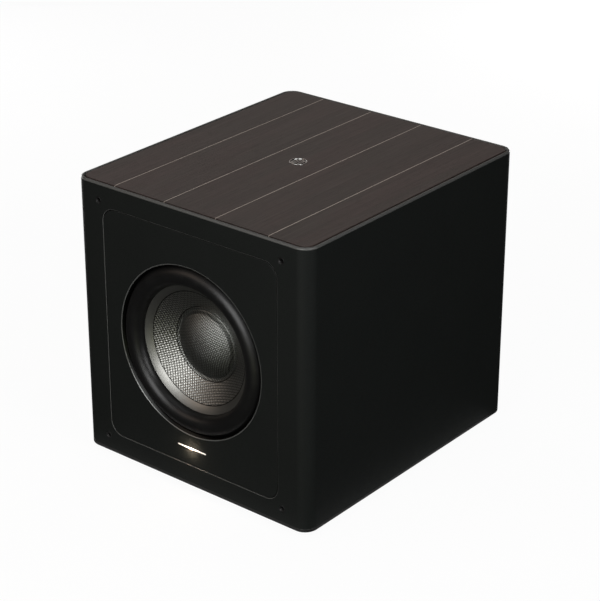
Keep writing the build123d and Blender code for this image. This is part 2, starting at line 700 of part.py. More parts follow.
with BuildPart() as dust_cap:
    outside = [on_cap(CAP_SPHERE, radius) for radius in (0, CAP_KNEE / 2, CAP_KNEE)]
    inside = [on_cap(CAP_SPHERE - CAP_SKIN, radius) for radius in (CAP_KNEE - 0.7, CAP_KNEE / 2, 0)]
    skirt_foot = (CAP_KNEE + 1.8, outside[-1][1] + 3.2)
    hollow = (CAP_KNEE + 2.75, outside[-1][1] + 4.65)
    flange_start = on_cone(CAP_KNEE + 4.6, -CAP_FLANGE_SKIN)
    flange_edge = on_cone(CAP_FLANGE, -CAP_FLANGE_SKIN)
    glue_line = [on_cone(CAP_FLANGE, -0.05), on_cone(CAP_KNEE + 1.0, -0.05)]
    with BuildSketch(DRIVER_SECTION):
        with BuildLine():
            ThreePointArc(*outside)
            Line(outside[-1], skirt_foot)
            ThreePointArc(skirt_foot, hollow, flange_start)
            Polyline(flange_start, flange_edge, *glue_line, inside[0])
            ThreePointArc(*inside)
            Line(inside[-1], outside[0])
        make_face()
    revolve(axis=DRIVER_AXIS)

coil_former = turned(washer_points(COIL_RADIUS, COIL_RADIUS + 0.5, 50.5, 116))
coil_winding = turned(washer_points(NECK_BORE, 33.5, 87, 113))

# terminals above the basket and the flexible leads from the cone to them
TERMINAL_X = 9.0
TERMINAL_HEIGHT = 97.4
TAB_HEIGHT = 0.8
with BuildPart() as driver_terminals:
    with BuildSketch(facing_front(58)):
        with Locations((0, TERMINAL_HEIGHT)):
            Rectangle(36, 6)
    extrude(amount=-10)
    with BuildSketch(facing_front(54)):
        with Locations((0, TERMINAL_HEIGHT)):
            with GridLocations(2 * TERMINAL_X, 0, 2, 1):
                Rectangle(6.3, TAB_HEIGHT)
    extrude(amount=-26)


def cable(radius, *points):
    """A round cable along a smooth curve through these points."""
    with BuildPart() as run:
        with BuildLine() as path:
            Spline(*points)
        with BuildSketch(Plane(origin=path.line @ 0, z_dir=path.line % 0)):
            Circle(radius)
        sweep()
    return run


def cable_pair(radius, *points):
    """Two mirrored cables, one on each side of the cabinet's middle plane."""
    left = cable(radius, *[(-x, y, z) for x, y, z in points])
    right = cable(radius, *points)
    with BuildPart() as pair:
        add(left.part)
        add(right.part)
    return pair


LEAD = 1.1
tinsel_leads = cable_pair(
    LEAD,
    (TERMINAL_X, FRONT + 44.2, AXIS_Z + 46),
    (TERMINAL_X, FRONT + 57, AXIS_Z + 62),
    (TERMINAL_X, FRONT + 48, AXIS_Z + 80),
    (TERMINAL_X, FRONT + 56, AXIS_Z + TERMINAL_HEIGHT - TAB_HEIGHT / 2 - LEAD - 0.1),
)

# ---------------------------------------------------------------- plate amplifier
with BuildPart() as amp_plate:
    with BuildSketch(facing_back(-AMP_PROUD)):
        RectangleRounded(AMP_WIDTH, AMP_HEIGHT, AMP_RADIUS)
    extrude(amount=-AMP_PLATE)
    with BuildSketch(on_amp(AMP_PLATE)):
        RectangleRounded(TRAY_WIDTH + 2 * TRAY_WALL, TRAY_HEIGHT + 2 * TRAY_WALL, TRAY_RADIUS + TRAY_WALL)
    extrude(amount=AMP_PLATE + AMP_FACE + AMP_GASKET)
    with BuildSketch(on_amp()):
        RectangleRounded(TRAY_WIDTH, TRAY_HEIGHT, TRAY_RADIUS)
    extrude(amount=2 * AMP_FACE, mode=Mode.SUBTRACT)
    fillet(amp_plate.faces().sort_by(Axis.Y)[-1].edges(), 0.8)
    with BuildSketch(on_amp()):
        with Locations((0, FIN_Z)):
            with GridLocations(FIN_PITCH, 0, FIN_COUNT, 1):
                Rectangle(FIN_THICKNESS, FIN_LENGTH)
    extrude(amount=FIN_HEIGHT)
    with BuildSketch(on_amp()):
        with Locations((-KNOB_X, KNOB_Z), (KNOB_X, KNOB_Z)):
            Circle(BUSHING_RADIUS + LINE_FIT)
        with Locations((SLIDE_X, INPUT_Z)):
            Rectangle(SLIDE_SLOT, SLIDER_HEIGHT + 0.4)
        with Locations(*JACKS):
            Circle(JACK_RADIUS + LINE_FIT)
        with Locations((ROCKER_X, MAINS_Z)):
            Rectangle(ROCKER_WIDTH + 0.2, ROCKER_HEIGHT + 0.2)
        with Locations((INLET_X, MAINS_Z)):
            Rectangle(INLET_WIDTH + 0.2, INLET_HEIGHT + 0.2)
    extrude(amount=-AMP_PLATE, mode=Mode.SUBTRACT)
    with Locations(facing_back(-AMP_PROUD)):
        with Locations(*AMP_SCREWS):
            CounterSinkHole(1.9, 3.7, depth=AMP_PLATE, counter_sink_angle=90)

with BuildPart() as amp_gasket:
    with BuildSketch(facing_back()):
        RectangleRounded(AMP_WIDTH, AMP_HEIGHT, AMP_RADIUS)
        RectangleRounded(*AMP_OPENING, AMP_RADIUS, mode=Mode.SUBTRACT)
        with Locations(*AMP_SCREWS):
            Circle(1.9, mode=Mode.SUBTRACT)
    extrude(amount=AMP_GASKET)

amp_screws = countersunk_screws(facing_back(-AMP_PROUD), AMP_SCREWS, head=3.6, shank=1.7, length=18, key=1.3)

# knobs, their shafts and the potentiometers behind the plate
POT_RADIUS = 8.5
POT_DEPTH = 9.0
SHAFT_RADIUS = 3.0
RUNNING_FIT = 0.05
BUSHING_PROUD = 4.0
with BuildPart() as pot_bodies:
    with BuildSketch(on_amp(AMP_PLATE)):
        with Locations((-KNOB_X, KNOB_Z), (KNOB_X, KNOB_Z)):
            Circle(POT_RADIUS)
    extrude(amount=-POT_DEPTH)
    with BuildSketch(on_amp(AMP_PLATE)):
        with Locations((-KNOB_X, KNOB_Z), (KNOB_X, KNOB_Z)):
            Circle(BUSHING_RADIUS)
    extrude(amount=AMP_PLATE + BUSHING_PROUD)
    with BuildSketch(on_amp(-BUSHING_PROUD)):
        with Locations((-KNOB_X, KNOB_Z), (KNOB_X, KNOB_Z)):
            Circle(SHAFT_RADIUS + RUNNING_FIT)
    extrude(amount=-(BUSHING_PROUD + AMP_PLATE + POT_DEPTH - 1.5), mode=Mode.SUBTRACT)


def knob(x):
    """A fluted knob with a recess that clears the bushing, a blind bore and a pointer groove."""
    with BuildPart() as body:
        with BuildSketch(on_amp(-KNOB_CLEAR)):
            with Locations((x, KNOB_Z)):
                Circle(KNOB_RADIUS)
                with PolarLocations(KNOB_RADIUS, KNOB_FLUTES):
                    Circle(0.7, mode=Mode.SUBTRACT)
        extrude(amount=KNOB_HEIGHT)
        chamfer(body.faces().sort_by(Axis.Y)[-1].edges(), 0.6)
        with BuildSketch(on_amp(-KNOB_CLEAR)):
            with Locations((x, KNOB_Z)):
                Circle(5.5)
        extrude(amount=BUSHING_PROUD, mode=Mode.SUBTRACT)
        with BuildSketch(on_amp(-KNOB_CLEAR)):
            with Locations((x, KNOB_Z)):
                Circle(SHAFT_RADIUS + RUNNING_FIT)
        extrude(amount=KNOB_HEIGHT - 2, mode=Mode.SUBTRACT)
        with BuildSketch(on_amp(-KNOB_CLEAR - KNOB_HEIGHT)):
            with Locations((x, KNOB_Z + KNOB_RADIUS * 0.65)):
                Rectangle(1.2, KNOB_RADIUS * 0.7)
        extrude(amount=-0.5, mode=Mode.SUBTRACT)
    return body


def knob_shaft(x):
    """The steel shaft that turns with a knob, from inside the knob to inside the potentiometer."""
    with BuildPart() as shaft:
        with BuildSketch(on_amp(-KNOB_CLEAR - KNOB_HEIGHT + 2.2)):
            with Locations((x, KNOB_Z)):
                Circle(SHAFT_RADIUS)
        extrude(amount=-(KNOB_HEIGHT + KNOB_CLEAR + AMP_PLATE + POT_DEPTH - 4.0))
    return shaft


level_knob = knob(-KNOB_X)
level_shaft = knob_shaft(-KNOB_X)
crossover_knob = knob(KNOB_X)
crossover_shaft = knob_shaft(KNOB_X)

# phase slide switch
with BuildPart() as phase_switch_case:
    with BuildSketch(on_amp(AMP_PLATE)):
        with Locations((SLIDE_X, INPUT_Z)):
            Rectangle(SLIDE_SLOT + 10, SLIDER_HEIGHT + 5)
    extrude(amount=-9)
    with BuildSketch(on_amp(AMP_PLATE)):
        with Locations((SLIDE_X, INPUT_Z)):
            Rectangle(SLIDE_SLOT, SLIDER_HEIGHT + 0.2)
    extrude(amount=-6, mode=Mode.SUBTRACT)

with BuildPart() as phase_slider:
    with BuildSketch(on_amp(AMP_PLATE + 5.8)):
        with Locations((SLIDE_X - SLIDE_TRAVEL / 2, INPUT_Z)):
            Rectangle(SLIDER_WIDTH, SLIDER_HEIGHT)
    extrude(amount=AMP_PLATE + 5.8 + 1.6)
    with BuildSketch(on_amp(-1.6)):
        with Locations((SLIDE_X - SLIDE_TRAVEL / 2, INPUT_Z)):
            with GridLocations(1.4, 0, 3, 1):
                Rectangle(0.6, SLIDER_HEIGHT)
    extrude(amount=-0.5, mode=Mode.SUBTRACT)

with BuildPart() as rca_jacks:
    with BuildSketch(on_amp(AMP_PLATE)):
        with Locations(*JACKS):
            Rectangle(14, 14)
    extrude(amount=-11)
    with BuildSketch(on_amp(AMP_PLATE)):
        with Locations(*JACKS):
            Circle(JACK_RADIUS)
    extrude(amount=AMP_PLATE + 1.5)
    with BuildSketch(on_amp(-1.5)):
        with Locations(*JACKS):
            Circle(JACK_BARREL)
    extrude(amount=JACK_LENGTH)
    with BuildSketch(on_amp(-1.5 - JACK_LENGTH)):
        with Locations(*JACKS):
            Circle(JACK_SOCKET)
    extrude(amount=-JACK_LENGTH, mode=Mode.SUBTRACT)

# mains inlet, its pins, the fuse drawer above them and the power rocker
DRAWER_Z = MAINS_Z + 11.5
PLUG_Z = MAINS_Z - 6.0
with BuildPart() as mains_inlet:
    with BuildSketch(on_amp()):
        with Locations((INLET_X, MAINS_Z)):
            RectangleRounded(INLET_WIDTH + 6, INLET_HEIGHT + 6, 3)
    extrude(amount=2)
    with BuildSketch(on_amp()):
        with Locations((INLET_X, MAINS_Z)):
            Rectangle(INLET_WIDTH, INLET_HEIGHT)
    extrude(amount=-26)
    with BuildSketch(on_amp(-2)):
        with Locations((INLET_X, PLUG_Z)):
            RectangleRounded(24.4, 16.6, 2)
        with Locations((INLET_X, DRAWER_Z)):
            Rectangle(DRAWER_WIDTH, DRAWER_HEIGHT)
    extrude(amount=-20, mode=Mode.SUBTRACT)
    with BuildSketch(on_amp(18)):
        with Locations((INLET_X, PLUG_Z)):
            Rectangle(*PIN_SIZE)
        with Locations((INLET_X - 7, PLUG_Z - 3.5), (INLET_X + 7, PLUG_Z - 3.5)):
            Rectangle(*PIN_SIZE)
    extrude(amount=-8, mode=Mode.SUBTRACT)

with BuildPart() as mains_pins:
    with BuildSketch(on_amp(4)):
        with Locations((INLET_X, PLUG_Z)):
            Rectangle(*PIN_SIZE)
        with Locations((INLET_X - 7, PLUG_Z - 3.5), (INLET_X + 7, PLUG_Z - 3.5)):
            Rectangle(*PIN_SIZE)
    extrude(amount=-30)

with BuildPart() as fuse_drawer:
    with BuildSketch(on_amp(17.8)):
        with Locations((INLET_X, DRAWER_Z)):
            Rectangle(DRAWER_WIDTH - 0.2, DRAWER_HEIGHT - 0.2)
    extrude(amount=17.8 + 2.6)
    with BuildSketch(on_amp(16)):
        with Locations((INLET_X, DRAWER_Z)):
            Rectangle(DRAWER_WIDTH - 3, DRAWER_HEIGHT)
    extrude(amount=13, mode=Mode.SUBTRACT)
    with BuildSketch(on_amp(-2.6)):
        with Locations((INLET_X, DRAWER_Z)):
            Rectangle(8, 3)
    extrude(amount=-1.2, mode=Mode.SUBTRACT)

CAVITY_WIDTH = ROCKER_WIDTH - 4.0
CAVITY_HEIGHT = ROCKER_HEIGHT - 4.0
with BuildPart() as rocker_case:
    with BuildSketch(on_amp()):
        with Locations((ROCKER_X, MAINS_Z)):
            RectangleRounded(ROCKER_WIDTH + 4, ROCKER_HEIGHT + 4, 2)
    extrude(amount=2)
    with BuildSketch(on_amp()):
        with Locations((ROCKER_X, MAINS_Z)):
            Rectangle(ROCKER_WIDTH, ROCKER_HEIGHT)
    extrude(amount=-20)
    with BuildSketch(on_amp(-2)):
        with Locations((ROCKER_X, MAINS_Z)):
            Rectangle(CAVITY_WIDTH, CAVITY_HEIGHT)
    extrude(amount=-19, mode=Mode.SUBTRACT)
    with BuildSketch(rocker_plane(0)):
        Circle(PIVOT_RADIUS + RUNNING_FIT)
    extrude(amount=CAVITY_WIDTH / 2 + 1.5, both=True, mode=Mode.SUBTRACT)

with BuildPart() as power_rocker:
    with BuildSketch(rocker_plane(ROCKER_TILT)):
        with BuildLine():
            Polyline((-4, -3), (4, -3), (10.6, 2), (10.6, 7), (0, 5.2), (-10.6, 7), (-10.6, 2), close=True)
        make_face()
    extrude(amount=CAVITY_WIDTH / 2 - 0.2, both=True)
    with BuildSketch(rocker_plane(ROCKER_TILT)):
        Circle(PIVOT_RADIUS)
    extrude(amount=CAVITY_WIDTH / 2 + 1.3, both=True)

# boards behind the plate
BOARD_DEPTH = AMP_PLATE + 14.0
with BuildPart() as control_board:
    with BuildSketch(on_amp(BOARD_DEPTH)):
        with Locations((0, 88)):
            Rectangle(190, 74)
        with Locations((0, 56)):
            with GridLocations(180, 0, 2, 1):
                Circle(1.6, mode=Mode.SUBTRACT)
    extrude(amount=-1.6)

with BuildPart() as power_board:
    with BuildSketch(on_amp(BOARD_DEPTH)):
        with Locations((0, -18)):
            Rectangle(190, 124)
    extrude(amount=-1.6)

with BuildPart() as capacitors:
    with BuildSketch(on_amp(BOARD_DEPTH + 1.6)):
        with Locations((-50, -20)):
            with GridLocations(34, 0, 2, 1):
                Circle(15)
    extrude(amount=-42)
    fillet(capacitors.edges().group_by(Axis.Y)[0], 1.5)

TRANSFORMER_Y = 118.0
with BuildPart() as transformer:
    with BuildSketch(Plane.XY.offset(ROOM_BOTTOM + 0.5)):
        with Locations((0, TRANSFORMER_Y)):
            Circle(52)
            Circle(17, mode=Mode.SUBTRACT)
    extrude(amount=46)
    fillet(transformer.edges(), 9)

driver_cables = cable_pair(
    1.6,
    (TERMINAL_X, FRONT + 82, AXIS_Z + TERMINAL_HEIGHT),
    (TERMINAL_X + 6, FRONT + 130, AXIS_Z + 96),
    (TERMINAL_X + 12, -40, AXIS_Z + 70),
    (TERMINAL_X + 20, 60, AXIS_Z + 40),
    (TERMINAL_X + 30, BACK - AMP_FACE - BOARD_DEPTH - 3, AXIS_Z + 20),
)

# ---------------------------------------------------------------- feet
FOOT_POINTS = [(x, y) for x in (-FEET_X, FEET_X) for y in (-FEET_Y, FEET_Y)]
FOOT_RECESS = 7.0
with BuildPart() as rubber_feet:
    with BuildSketch(Plane.XY.offset(FOOT_HEIGHT)):
        with Locations(*FOOT_POINTS):
            Circle(FOOT_RADIUS)
    extrude(amount=-FOOT_HEIGHT, taper=8)
    with BuildSketch(Plane.XY):
        with Locations(*FOOT_POINTS):
            Circle(FOOT_RECESS)
    extrude(amount=6, mode=Mode.SUBTRACT)
    with BuildSketch(Plane.XY):
        with Locations(*FOOT_POINTS):
            Circle(2.7)
    extrude(amount=FOOT_HEIGHT, mode=Mode.SUBTRACT)

with BuildPart() as foot_screws:
    with BuildSketch(Plane.XY.offset(2.5)):
        with Locations(*FOOT_POINTS):
            Circle(5)
            RegularPolygon(2, 6, mode=Mode.SUBTRACT)
    extrude(amount=3.4)
    with BuildSketch(Plane.XY.offset(5.0)):
        with Locations(*FOOT_POINTS):
            Circle(2.45)
    extrude(amount=25)

# ---------------------------------------------------------------- one file for each piece
PIECES = {
    "left_wall": left_wall,
    "right_wall": right_wall,
    "back_wall": back_wall,
    "front_baffle": front_baffle,
    "bottom_board": bottom_board,
    "top_board": top_board,
    "window_brace": window_brace,
    "acoustic_wadding": acoustic_wadding,
    "cabinet_leather": cabinet_leather,
    "top_trim": top_trim,
    "base_plate": base_plate,
    "lid_planks": lid_planks,
    "maple_inlays": maple_inlays,
    "badge_ring": badge_ring,
    "badge_face": badge_face,
    "baffle_insert": baffle_insert,
    "insert_leather": insert_leather,
    "insert_dowels": insert_dowels,
    "grille_sockets": grille_sockets,
    "status_lens": status_lens,
    "status_board": status_board,
    "driver_bezel": driver_bezel,
    "surround": surround,
    "spider": spider,
    "driver_basket": driver_basket,
    "basket_gasket": basket_gasket,
    "basket_screws": basket_screws,
    "top_plate": top_plate,
    "magnet_rings": magnet_rings,
    "yoke": yoke,
    "cone_ring": cone_ring,
    "cone": cone,
    "dust_cap": dust_cap,
    "coil_former": coil_former,
    "coil_winding": coil_winding,
    "driver_terminals": driver_terminals,
    "tinsel_leads": tinsel_leads,
    "amp_plate": amp_plate,
    "amp_gasket": amp_gasket,
    "amp_screws": amp_screws,
    "pot_bodies": pot_bodies,
    "level_knob": level_knob,
    "level_shaft": level_shaft,
    "crossover_knob": crossover_knob,
    "crossover_shaft": crossover_shaft,
    "phase_switch_case": phase_switch_case,
    "phase_slider": phase_slider,
    "rca_jacks": rca_jacks,
    "mains_inlet": mains_inlet,
    "mains_pins": mains_pins,
    "fuse_drawer": fuse_drawer,
    "rocker_case": rocker_case,
    "power_rocker": power_rocker,
    "control_board": control_board,
    "power_board": power_board,
    "capacitors": capacitors,
    "transformer": transformer,
    "driver_cables": driver_cables,
    "rubber_feet": rubber_feet,
    "foot_screws": foot_screws,
}

os.makedirs("parts", exist_ok=True)
for name, piece in PIECES.items():
    piece.part.label = name
    export_step(piece.part, f"parts/{name}.step")
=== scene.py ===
import json
import math

import bmesh
import bpy
import numpy as np
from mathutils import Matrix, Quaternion, Vector

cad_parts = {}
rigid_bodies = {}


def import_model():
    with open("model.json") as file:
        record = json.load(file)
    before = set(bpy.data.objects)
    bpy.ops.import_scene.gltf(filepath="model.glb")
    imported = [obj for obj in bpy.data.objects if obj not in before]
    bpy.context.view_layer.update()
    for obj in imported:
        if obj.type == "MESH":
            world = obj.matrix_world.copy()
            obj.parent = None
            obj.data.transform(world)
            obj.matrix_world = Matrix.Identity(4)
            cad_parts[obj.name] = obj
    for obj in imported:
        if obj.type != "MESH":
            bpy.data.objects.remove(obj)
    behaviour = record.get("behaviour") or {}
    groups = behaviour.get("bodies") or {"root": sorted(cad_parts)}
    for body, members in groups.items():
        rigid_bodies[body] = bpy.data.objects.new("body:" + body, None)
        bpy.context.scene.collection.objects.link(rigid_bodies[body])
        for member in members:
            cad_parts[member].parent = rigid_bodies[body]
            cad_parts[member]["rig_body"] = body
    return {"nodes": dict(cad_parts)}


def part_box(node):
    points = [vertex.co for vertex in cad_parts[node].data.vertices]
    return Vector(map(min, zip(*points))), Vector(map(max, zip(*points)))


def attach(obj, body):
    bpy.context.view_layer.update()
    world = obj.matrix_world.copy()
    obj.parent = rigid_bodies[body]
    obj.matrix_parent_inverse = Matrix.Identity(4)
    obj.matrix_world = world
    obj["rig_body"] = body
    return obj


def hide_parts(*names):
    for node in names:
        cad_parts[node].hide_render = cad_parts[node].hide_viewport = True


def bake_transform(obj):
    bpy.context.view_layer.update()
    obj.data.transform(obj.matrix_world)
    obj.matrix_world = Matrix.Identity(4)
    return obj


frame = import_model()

MM = 0.001

# lamps and glows, in watts or as emission strength
FLOOR_GLOW_TO_CAMERA = 0.95
FLOOR_GLOW_TO_OBJECT = 0.006
SKY_TO_OBJECT, SKY_TO_CAMERA = 0.02, 1.0
FOOT_GLOW = 0.009
HALO = 0.075
LENS_GLOW = 1.15
LENS_HALF_LENGTH = 25.5 * MM

# the lid's trim
TRIM_CORNER = 21 * MM
TRIM_WIDTH = 6 * MM
SHADOW_GROOVE = 2.6 * MM
PLANK_PITCH = 92.5 * MM

# the driver's weave: tow pitch and turn in the plane of the front, tow height, dark joint lines
CONE_WEAVE = (3.35 * MM, math.radians(20))
CAP_WEAVE = (2.8 * MM, math.radians(-19))
WEAVE_HEIGHT = 0.46 * MM
CONE_SEAMS = ((84.5 * MM, 86.0 * MM), (55.2 * MM, 56.6 * MM))
# radius past which the bezel's lip carries a painted highlight
PAINTED_HIGHLIGHT_LIP = 129.1 * MM

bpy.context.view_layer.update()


# ---------------------------------------------------------------- material graphs
class Finish:
    """A procedural material: one Principled surface and the nodes that feed it, in metres."""

    def __init__(self, name, **surface):
        self.material = bpy.data.materials.new(name)
        self.material.use_nodes = True
        self.tree = self.material.node_tree
        self.surface = self.tree.nodes["Principled BSDF"]
        for socket, value in surface.items():
            self.set(socket.replace("_", " "), value)
        self.place = self.add("ShaderNodeTexCoord").outputs["Object"]

    def add(self, kind, inputs=None, **settings):
        node = self.tree.nodes.new(kind)
        for key, value in settings.items():
            setattr(node, key, value)
        for key, value in (inputs or {}).items():
            self.feed(node.inputs[key], value)
        return node

    def feed(self, socket, value):
        if isinstance(value, bpy.types.NodeSocket):
            self.tree.links.new(value, socket)
        else:
            socket.default_value = value

    def set(self, socket, value):
        if isinstance(value, tuple) and len(value) == 3:
            value = (*value, 1.0)
        self.feed(self.surface.inputs[socket], value)

    def math(self, operation, a, b=0.5):
        return self.add("ShaderNodeMath", {0: a, 1: b}, operation=operation).outputs[0]

    def stretched(self, stretch):
        return self.add("ShaderNodeMapping", {"Vector": self.place, "Scale": stretch}).outputs[0]

    def noise(self, scale, detail=3.0, rough=0.55, stretch=(1, 1, 1), warp=0.0):
        inputs = {
            "Vector": self.stretched(stretch),
            "Scale": scale,
            "Detail": detail,
            "Roughness": rough,
            "Distortion": warp,
        }
        return self.add("ShaderNodeTexNoise", inputs).outputs["Fac"]

    def cells(self, scale, stretch=(1, 1, 1), feature="SMOOTH_F1"):
        inputs = {"Vector": self.stretched(stretch), "Scale": scale}
        return self.add("ShaderNodeTexVoronoi", inputs, feature=feature).outputs["Distance"]

    def axes(self):
        return self.add("ShaderNodeSeparateXYZ", {0: self.place}).outputs

    def ramp(self, factor, *stops):
        node = self.add("ShaderNodeValToRGB", {"Fac": factor})
        elements = node.color_ramp.elements
        while len(elements) < len(stops):
            elements.new(0.5)
        for element, (place, colour) in zip(elements, stops):
            element.position = place
            element.color = (colour, colour, colour, 1) if isinstance(colour, float) else (*colour, 1)
        return node.outputs["Color"]

    def mix(self, factor, a, b):
        node = self.add("ShaderNodeMix", {"Factor": factor}, data_type="RGBA")
        first, second = 6, 7  # the node's colour inputs
        for socket, value in ((node.inputs[first], a), (node.inputs[second], b)):
            self.feed(socket, (*value, 1.0) if isinstance(value, tuple) and len(value) == 3 else value)
        return node.outputs[2]

    def span(self, factor, low, high):
        node = self.add("ShaderNodeMapRange", {"Value": factor, "To Min": low, "To Max": high})
        return node.outputs["Result"]

    def bump(self, height, distance, strength=1.0, under=None):
        inputs = {"Height": height, "Distance": distance, "Strength": strength}
        if under is not None:
            inputs["Normal"] = under
        out = self.add("ShaderNodeBump", inputs).outputs["Normal"]
        self.set("Normal", out)
        return out


def leather(name, low, high, specular):
    """Fine-pebbled leather with a slight tone drift between two colours, matt in the creases and
    darkened there with painted shade.
    """
    f = Finish(name, Specular_IOR_Level=specular)
    pebble = f.cells(850)
    crease = f.ramp(pebble, (0.25, 0.0), (0.75, 1.0))
    drift = f.noise(9, 3)
    tone = f.mix(drift, low, high)
    # the creases between the pebbles are up to a quarter darker: painted shade
    f.set("Base Color", f.mix(f.math("MULTIPLY", crease, 0.5), tone, tuple(c * 0.5 for c in low)))
    gloss = f.span(f.noise(60, 4), 0.46, 0.58)
    f.set("Roughness", f.math("ADD", gloss, f.math("MULTIPLY", crease, 0.10)))
    soft = f.bump(f.noise(140, 3), 0.00018, 0.25)
    f.bump(f.math("SUBTRACT", 1.0, pebble), 0.00012, 0.55, under=soft)
    return f.material


def wenge(name="wenge_planks"):
    """Dark straight-grained wood, its figure running front to back, each plank a little different."""
    f = Finish(name, Specular_IOR_Level=0.42)
    x = f.axes()[0]
    plank = f.math("FLOOR", f.math("DIVIDE", x, PLANK_PITCH))
    shift = f.add("ShaderNodeTexWhiteNoise", {"W": plank}, noise_dimensions="1D").outputs["Value"]
    offsets = {"X": shift, "Y": f.math("MULTIPLY", shift, 3.0), "Z": shift}
    offset = f.add("ShaderNodeCombineXYZ", offsets).outputs[0]
    f.place = f.add("ShaderNodeVectorMath", {0: f.place, 1: offset}, operation="ADD").outputs[0]
    streak = f.noise(520, 5, 0.62, stretch=(1, 0.016, 1), warp=0.25)
    band = f.noise(70, 4, 0.6, stretch=(1, 0.05, 1), warp=0.4)
    hue = f.noise(16, 2, 0.5, stretch=(1, 0.35, 1))
    pores = f.ramp(f.cells(1300, stretch=(1, 0.035, 1)), (0.10, 0.0), (0.26, 1.0))
    warm = f.mix(streak, (0.032, 0.0205, 0.0190), (0.083, 0.0590, 0.0540))
    cool = f.mix(streak, (0.028, 0.0215, 0.0192), (0.073, 0.0595, 0.0530))
    wood = f.mix(f.ramp(hue, (0.38, 0.0), (0.62, 1.0)), warm, cool)
    wood = f.mix(f.ramp(band, (0.35, 0.0), (0.65, 0.45)), wood, (0.030, 0.0225, 0.0195))
    wood = f.mix(f.math("MULTIPLY", shift, 0.18), wood, (0.06, 0.048, 0.042))
    f.set("Base Color", f.mix(pores, (0.012, 0.009, 0.008), wood))
    f.set("Roughness", f.span(streak, 0.55, 0.42))
    fine = f.bump(streak, 0.00005, 0.35)
    f.bump(pores, 0.00006, 0.5, under=fine)
    return f.material


def maple():
    """Pale inlay wood with fine lengthwise grain."""
    f = Finish("pale_inlay", Specular_IOR_Level=0.4)
    grain = f.noise(900, 4, stretch=(1, 0.02, 1))
    f.set("Base Color", f.mix(grain, (0.38, 0.33, 0.285), (0.62, 0.545, 0.475)))
    f.set("Roughness", f.span(grain, 0.42, 0.58))
    f.bump(grain, 0.00003, 0.4)
    return f.material


def fibreboard():
    """Raw fibreboard: compressed fibres and a paler core."""
    f = Finish("fibreboard", Roughness=0.85, Specular_IOR_Level=0.2)
    fibre = f.noise(420, 6, 0.7)
    f.set("Base Color", f.mix(fibre, (0.30, 0.20, 0.115), (0.50, 0.37, 0.24)))
    f.bump(fibre, 0.0001, 0.5)
    return f.material


def satin_metal(name, dark, light, rough, metallic=1.0, stretch=(1, 1, 1), scale=900, dent=0.3):
    """Metal with fine grain, brushed if it is stretched, and faint handling marks."""
    f = Finish(name, Metallic=metallic)
    grain = f.noise(scale, 4, 0.6, stretch=stretch)
    smudge = f.noise(35, 4, 0.6)
    f.set("Base Color", f.mix(grain, dark, light))
    gloss = f.span(grain, rough - 0.05, rough + 0.05)
    f.set("Roughness", f.math("ADD", gloss, f.span(smudge, -0.05, 0.05)))
    f.bump(grain, 0.00003, dent)
    return f.material


def plastic(name, dark, light, rough, scale=2200, distance=0.00004, spec=0.45):
    """Moulded plastic or rubber: spark-eroded texture, faint dust and uneven gloss."""
    f = Finish(name, Specular_IOR_Level=spec)
    texture = f.noise(scale, 2, 0.5)
    dust = f.ramp(f.noise(55, 5, 0.65), (0.45, 0.0), (0.75, 1.0))
    f.set("Base Color", f.mix(f.math("MULTIPLY", dust, 0.5), dark, light))
    gloss = f.span(texture, rough - 0.03, rough + 0.05)
    f.set("Roughness", f.math("ADD", gloss, f.math("MULTIPLY", dust, 0.06)))
    f.bump(texture, distance, 0.4)
    return f.material


def from_driver_axis(f):
    """The distance of a shaded point from the driver's axis."""
    x, _, z = f.axes()
    x = f.math("SUBTRACT", x, AXIS_X)
    z = f.math("SUBTRACT", z, AXIS_Z)
    return f.math("SQRT", f.math("ADD", f.math("MULTIPLY", x, x), f.math("MULTIPLY", z, z)))


def bezel_paint():
    """Black satin paint down the bezel's throat, with a painted highlight on its outer lip."""
    f = Finish("bezel_paint")
    grain = f.noise(900, 4, 0.6)
    # the lip past this radius gets a light, part-metallic colour as a painted highlight; the throat
    # keeps the near-black paint
    lip = f.math("GREATER_THAN", from_driver_axis(f), PAINTED_HIGHLIGHT_LIP)
    painted_highlight_tone = f.mix(grain, (0.13, 0.135, 0.13), (0.18, 0.185, 0.18))
    f.set("Base Color", f.mix(lip, (0.016, 0.0165, 0.016), painted_highlight_tone))
    f.set("Metallic", f.span(lip, 1.0, 0.45))
    f.set("Roughness", f.span(grain, 0.26, 0.34))
    f.bump(grain, 0.00002, 0.3)
    return f.material


